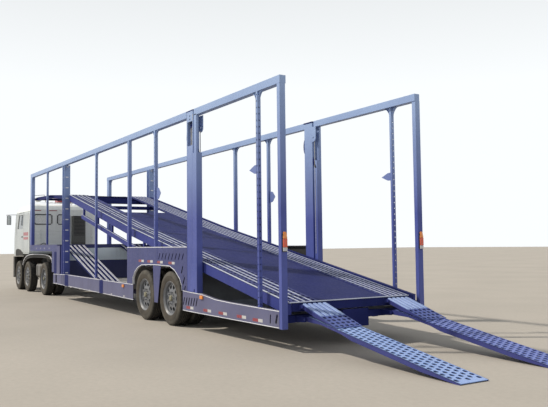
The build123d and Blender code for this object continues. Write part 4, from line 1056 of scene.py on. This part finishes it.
# ------------------------------------------------------------------ cab
st = Build()
for tag, side in SIDES:
    for z0, z1 in ((1.955, 2.075), (1.815, 1.905)):
        st.box(16.86, 17.60, *sorted((side * 1.199, side * 1.2035)), z0, z1)
piece("cab_stripes", st, "tractor", M["stripe"], bevel=0.001)
gl = Build()
gl.hexa([(19.142, -1.005, 2.005), (19.142, 1.005, 2.005), (19.128, 1.005, 2.005), (19.128, -1.005, 2.005)],
        [(19.008, -0.985, 2.715), (19.008, 0.985, 2.715), (18.994, 0.985, 2.715), (18.994, -0.985, 2.715)])
piece("windscreen", gl, "tractor", M["glass"])
REAR_GLASS = [("left", 0.715, 0.305), ("middle", 0.0, 0.215)]    # name, middle, half width
seal = Build()
for tag, y, w in REAR_GLASS:
    gw = Build()
    gw.box(16.764, 16.770, y - w - 0.003, y + w + 0.003, 2.342, 2.702)
    piece(f"rear_glass_{tag}", gw, "tractor", M["rear_glass"])
    for z in (2.349, 2.695):
        seal.box(16.740, 16.762, y - w + 0.03, y + w - 0.03, z - 0.016, z + 0.016)
    for c in (y - w, y + w):
        seal.box(16.740, 16.762, c - 0.016, c + 0.016, 2.375, 2.67)
        sgn = 1 if c > y else -1
        for z, zs in ((2.349, 1), (2.695, -1)):
            seal.hexa([(16.740, c - sgn * 0.075, z - 0.016 * zs), (16.740, c + sgn * 0.016, z + 0.07 * zs),
                       (16.762, c + sgn * 0.016, z + 0.07 * zs), (16.762, c - sgn * 0.075, z - 0.016 * zs)],
                      [(16.740, c - sgn * 0.055, z + 0.014 * zs), (16.740, c - sgn * 0.014, z + 0.055 * zs),
                       (16.762, c - sgn * 0.014, z + 0.055 * zs), (16.762, c - sgn * 0.055, z + 0.014 * zs)])
piece("rear_window_seals", seal, "tractor", M["rubber"], bevel=0.003, segments=2)
for tag, side in SIDES:
    gd = Build()
    gd.hexa([(17.764, side * 1.180, 2.224), (18.636, side * 1.180, 2.224), (18.636, side * 1.174, 2.224), (17.764, side * 1.174, 2.224)],
            [(17.764, side * 1.163, 2.717), (18.468, side * 1.163, 2.717), (18.468, side * 1.157, 2.717), (17.764, side * 1.157, 2.717)])
    piece(f"door_glass_{tag}", gd, f"door_{tag}", M["glass"])
    hd = Build()
    hd.box(17.74, 17.90, *sorted((side * 1.200, side * 1.222)), 1.90, 1.935)
    piece(f"door_handle_{tag}", hd, f"door_{tag}", M["trim"], bevel=0.006, segments=2)
# ribs and mouldings of the rear wall, red-brown drip strips over the windows
rb = Build()
for z in (1.50, 1.62, 1.74, 1.86, 1.98, 2.10):
    rb.box(16.741, 16.752, -1.12, 1.12, z, z + 0.035)
for y in (-1.02, -0.80, 0.80, 1.02):
    rb.box(16.741, 16.750, y - 0.02, y + 0.02, 1.40, 2.20)
piece("cab_rear_ribs", rb, "tractor", M["white_rear"], bevel=0.004, segments=2)
rs = Build()
for y0, y1 in ((0.785, 1.02), (0.228, 0.508)):
    rs.box(16.742, 16.754, y0, y1, 2.826, 2.850)
piece("cab_drip_strips", rs, "tractor", M["stripe"], bevel=0.004)
# grille, lamps, wipers and steps at the front
gr = Build()
for k in range(7):
    z = 1.30 + k * 0.085
    gr.box(19.176, 19.196, -0.82, 0.82, z, z + 0.045)
piece("grille_bars", gr, "tractor", M["trim"], bevel=0.006, segments=2)
hl, hb = Build(), Build()
for side in (1, -1):
    hb.box(19.150, 19.214, *sorted((side * 0.66, side * 1.10)), 0.80, 1.08)
    hl.box(19.208, 19.222, *sorted((side * 0.69, side * 1.07)), 0.83, 1.05)
piece("headlamp_frames", hb, "tractor", M["trim"], bevel=0.012, segments=2)
piece("headlamps", hl, "tractor", M["lens_white"], bevel=0.012, segments=3)
wp = Build()
for y in (-0.62, 0.30):
    wp.pipe([(19.165, y, 1.985), (19.150, y + 0.10, 2.15), (19.118, y + 0.36, 2.32)], 0.008, 8)
    wp.pipe([(19.140, y + 0.12, 2.16), (19.070, y + 0.56, 2.47)], 0.006, 6)
piece("wipers", wp, "tractor", M["rubber"])
sp = Build()
for side in (1, -1):
    sp.box(18.20, 18.60, *sorted((side * 1.08, side * 1.20)), 1.262, 1.290)
piece("cab_steps", sp, "tractor", M["trim"], bevel=0.004)
# roof: marker lamps, horn and a small rack
rf = Build()
for y in (-0.6, -0.2, 0.2, 0.6):
    rf.box(18.56, 18.66, y - 0.06, y + 0.06, 3.060, 3.100)
piece("roof_markers", rf, "tractor", M["marker"], bevel=0.012, segments=2)
rr = Build()
for x in (17.15, 17.75):
    rr.pipe([(x, -0.55, 3.06), (x, -0.55, 3.16), (x, 0.93, 3.16), (x, 0.93, 3.06)], 0.014, 8)
for y in (-0.55, 0.93):
    rr.pipe([(17.15, y, 3.16), (17.75, y, 3.16)], 0.014, 8)
rr.pipe([(17.30, 0.90, 3.10), (17.30, 0.90, 3.40), (17.30, 0.55, 3.43), (17.30, 0.50, 3.16)], 0.014, 8)
for k in range(4):
    rr.pipe([(17.18, 0.28 - 0.2 * k, 3.165), (17.72, 0.28 - 0.2 * k, 3.165)], 0.010, 6)
rr.disc((17.45, 0.72, 3.27), (1, 0, 0), 0.085, 0.16, 18)
piece("roof_rack", rr, "tractor", M["steel"], bevel=0.0)
rbx = Build()
rbx.box(17.20, 17.70, -0.50, 0.08, 3.170, 3.36)
piece("roof_box", rbx, "tractor", M["stripe"], bevel=0.03, segments=3)
# intake column: slats in its sides
it = Build()
for k in range(14):
    z = 1.95 + 0.05 * k
    it.box(16.552, 16.561, -0.70, -0.33, z, z + 0.018)
for z in (1.66, 2.62):
    it.box(16.556, 16.744, -0.744, -0.286, z, z + 0.02)
piece("intake_slats", it, "tractor", M["rubber"], bevel=0.001)
# coiled lines between cab and trailer, on a loop behind the cab
cl = Build()
for j, (y0, r_) in enumerate(((0.86, 0.16), (0.76, 0.14), (0.66, 0.12))):
    pts = [(16.70 - 0.03 * j, y0 - r_ + r_ * math.cos(a), 1.42 + r_ * 1.6 * math.sin(a)) for a in [math.pi * k / 14 for k in range(15)]]
    cl.pipe(pts, 0.011, 8)
piece("supply_lines", cl, "tractor", M["hose"])
# mirrors: rounded head hung from a sloping arm, with a short stay below
mh, ma, mi = Build(), Build(), Build()
for side in (1, -1):
    mh.box(18.968, 19.028, *sorted((side * 1.357, side * 1.513)), 2.388, 2.735)
    ma.pipe([(18.99, side * 1.13, 2.772), (18.99, side * 1.32, 2.768), (18.99, side * 1.535, 2.755)], 0.009, 8)
    ma.pipe([(18.99, side * 1.44, 2.765), (18.99, side * 1.44, 2.720)], 0.012, 8)
    mi.box(18.962, 18.969, *sorted((side * 1.369, side * 1.501)), 2.402, 2.721)
piece("mirror_heads", mh, "tractor", M["trim"], replaces=("mirrors",), bevel=0.018, segments=3)
piece("mirror_arms", ma, "tractor", M["trim"])
piece("mirror_glass", mi, "tractor", M["mirror"], bevel=0.001)
# straps of the tanks, rubber flaps behind the drive wheels, light mudguard edge
tk = Build()
for side in (1, -1):
    for x in (15.30, 15.72):
        tk.box(x, x + 0.05, *sorted((side * 0.566, side * 1.134)), 0.988, 0.994)
        tk.box(x, x + 0.05, *sorted((side * 1.128, side * 1.134)), 0.60, 0.92)
piece("tank_straps", tk, "tractor", M["trim"], bevel=0.001)
mg, ms = Build(), Build()
GUARD = [(13.28, 1.06), (13.36, 1.18), (13.60, 1.255), (14.05, 1.296), (14.70, 1.306), (15.70, 1.306), (16.35, 1.286),
         (16.80, 1.235), (17.05, 1.165), (17.26, 1.06), (17.40, 0.93)]
for side in (1, -1):
    def yy(a, b):
        return sorted((side * a, side * b))
    for (xa, za), (xb, zb) in zip(GUARD, GUARD[1:]):
        mg.prism([(xa, za - 0.014), (xb, zb - 0.014), (xb, zb + 0.006), (xa, za + 0.006)], *yy(1.243, 1.272))
        if max(za, zb) < 1.240:
            ms.prism([(xa, za - 0.008), (xb, zb - 0.008), (xb, zb), (xa, za)], *yy(0.640, 1.244))
        ms.prism([(xa, za - 0.110), (xb, zb - 0.110), (xb, zb), (xa, za)], *yy(1.236, 1.244))
ARCH_LOW = [(17.56, 1.240), (17.62, 1.30), (17.76, 1.365), (18.10, 1.455), (18.50, 1.490), (18.78, 1.455), (18.86, 1.40)]
for side in (1, -1):
    for (xa, za), (xb, zb) in zip(ARCH_LOW, ARCH_LOW[1:]):
        ms.prism([(xa, 1.232), (xb, 1.232), (xb, zb), (xa, za)], *sorted((side * 1.198, side * 1.212)))
piece("mudguard_shells", ms, "tractor", M["black"])
piece("mudguard_edges", mg, "tractor", M["bright"], bevel=0.002)
mf = Build()
for side in (1, -1):
    mf.box(13.696, 13.704, *sorted((side * 0.66, side * 1.24)), 0.36, 0.93)
piece("mud_flaps", mf, "tractor", M["rubber"], bevel=0.001)

# ------------------------------------------------------------------ floor, light, camera
t = Tree("pale_floor")
c = t.mix(t.ramp(t.noise(0.35, 4.0), 0.3, 0.7), (0.375, 0.345, 0.306), (0.430, 0.394, 0.350))
c = t.mix(t.math("MULTIPLY", t.ramp(t.noise(14.0, 6.0, 0.7), 0.35, 0.7), 0.35), c, (0.29, 0.27, 0.24))
t.colour(c)
t.p.inputs["Roughness"].default_value = 0.9
t.link(t.bump(t.noise(60.0, 4.0), 0.2, 0.002), t.p.inputs["Normal"])
me = bpy.data.meshes.new("floor")
me.from_pydata([(-160, -160, 0), (160, -160, 0), (160, 160, 0), (-160, 160, 0)], [], [(0, 1, 2, 3)])
floor = bpy.data.objects.new("floor", me)
me.materials.append(t.m)
bpy.context.scene.collection.objects.link(floor)
floor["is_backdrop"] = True

world = bpy.data.worlds.new("sky")
world.use_nodes = True
wt = world.node_tree
bg = wt.nodes["Background"]
tc = wt.nodes.new("ShaderNodeTexCoord")
sx = wt.nodes.new("ShaderNodeSeparateXYZ")
mr = wt.nodes.new("ShaderNodeMapRange")
wt.links.new(tc.outputs["Generated"], sx.inputs[0])
wt.links.new(sx.outputs["Z"], mr.inputs["Value"])
for key, val in (("From Min", 0.22), ("From Max", 0.75), ("To Min", 1.02), ("To Max", 0.42)):
    mr.inputs[key].default_value = val
wt.links.new(mr.outputs["Result"], bg.inputs["Strength"])
bg.inputs["Color"].default_value = (0.955, 0.985, 1.0, 1)
bpy.context.scene.world = world
bpy.context.scene.view_settings.view_transform = "Standard"

sun = bpy.data.lights.new("sun", "SUN")
sun.energy, sun.angle, sun.color = 3.3, math.radians(3), (1.0, 0.93, 0.82)
so = bpy.data.objects.new("sun", sun)
so.rotation_euler = Vector((0.55, 0.75, 1.0)).to_track_quat("Z", "Y").to_euler()
bpy.context.scene.collection.objects.link(so)

cam = bpy.data.cameras.new("camera")
co = bpy.data.objects.new("camera", cam)
bpy.context.scene.collection.objects.link(co)
r = Vector((-0.52814045, -0.84907374, -0.01189335))
u = Vector((-0.05659660, 0.02122236, 0.99817155))
f = Vector((0.84726884, -0.52784789, 0.05926308))
co.matrix_world = Matrix(((r.x, u.x, -f.x, -8.31904 - XM), (r.y, u.y, -f.y, 6.67493), (r.z, u.z, -f.z, 1.53821), (0, 0, 0, 1)))
cam.sensor_fit, cam.sensor_width, cam.lens = "HORIZONTAL", 36.0, 45.24634
cam.clip_start, cam.clip_end = 0.1, 500
bpy.context.scene.camera = co

lo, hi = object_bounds()
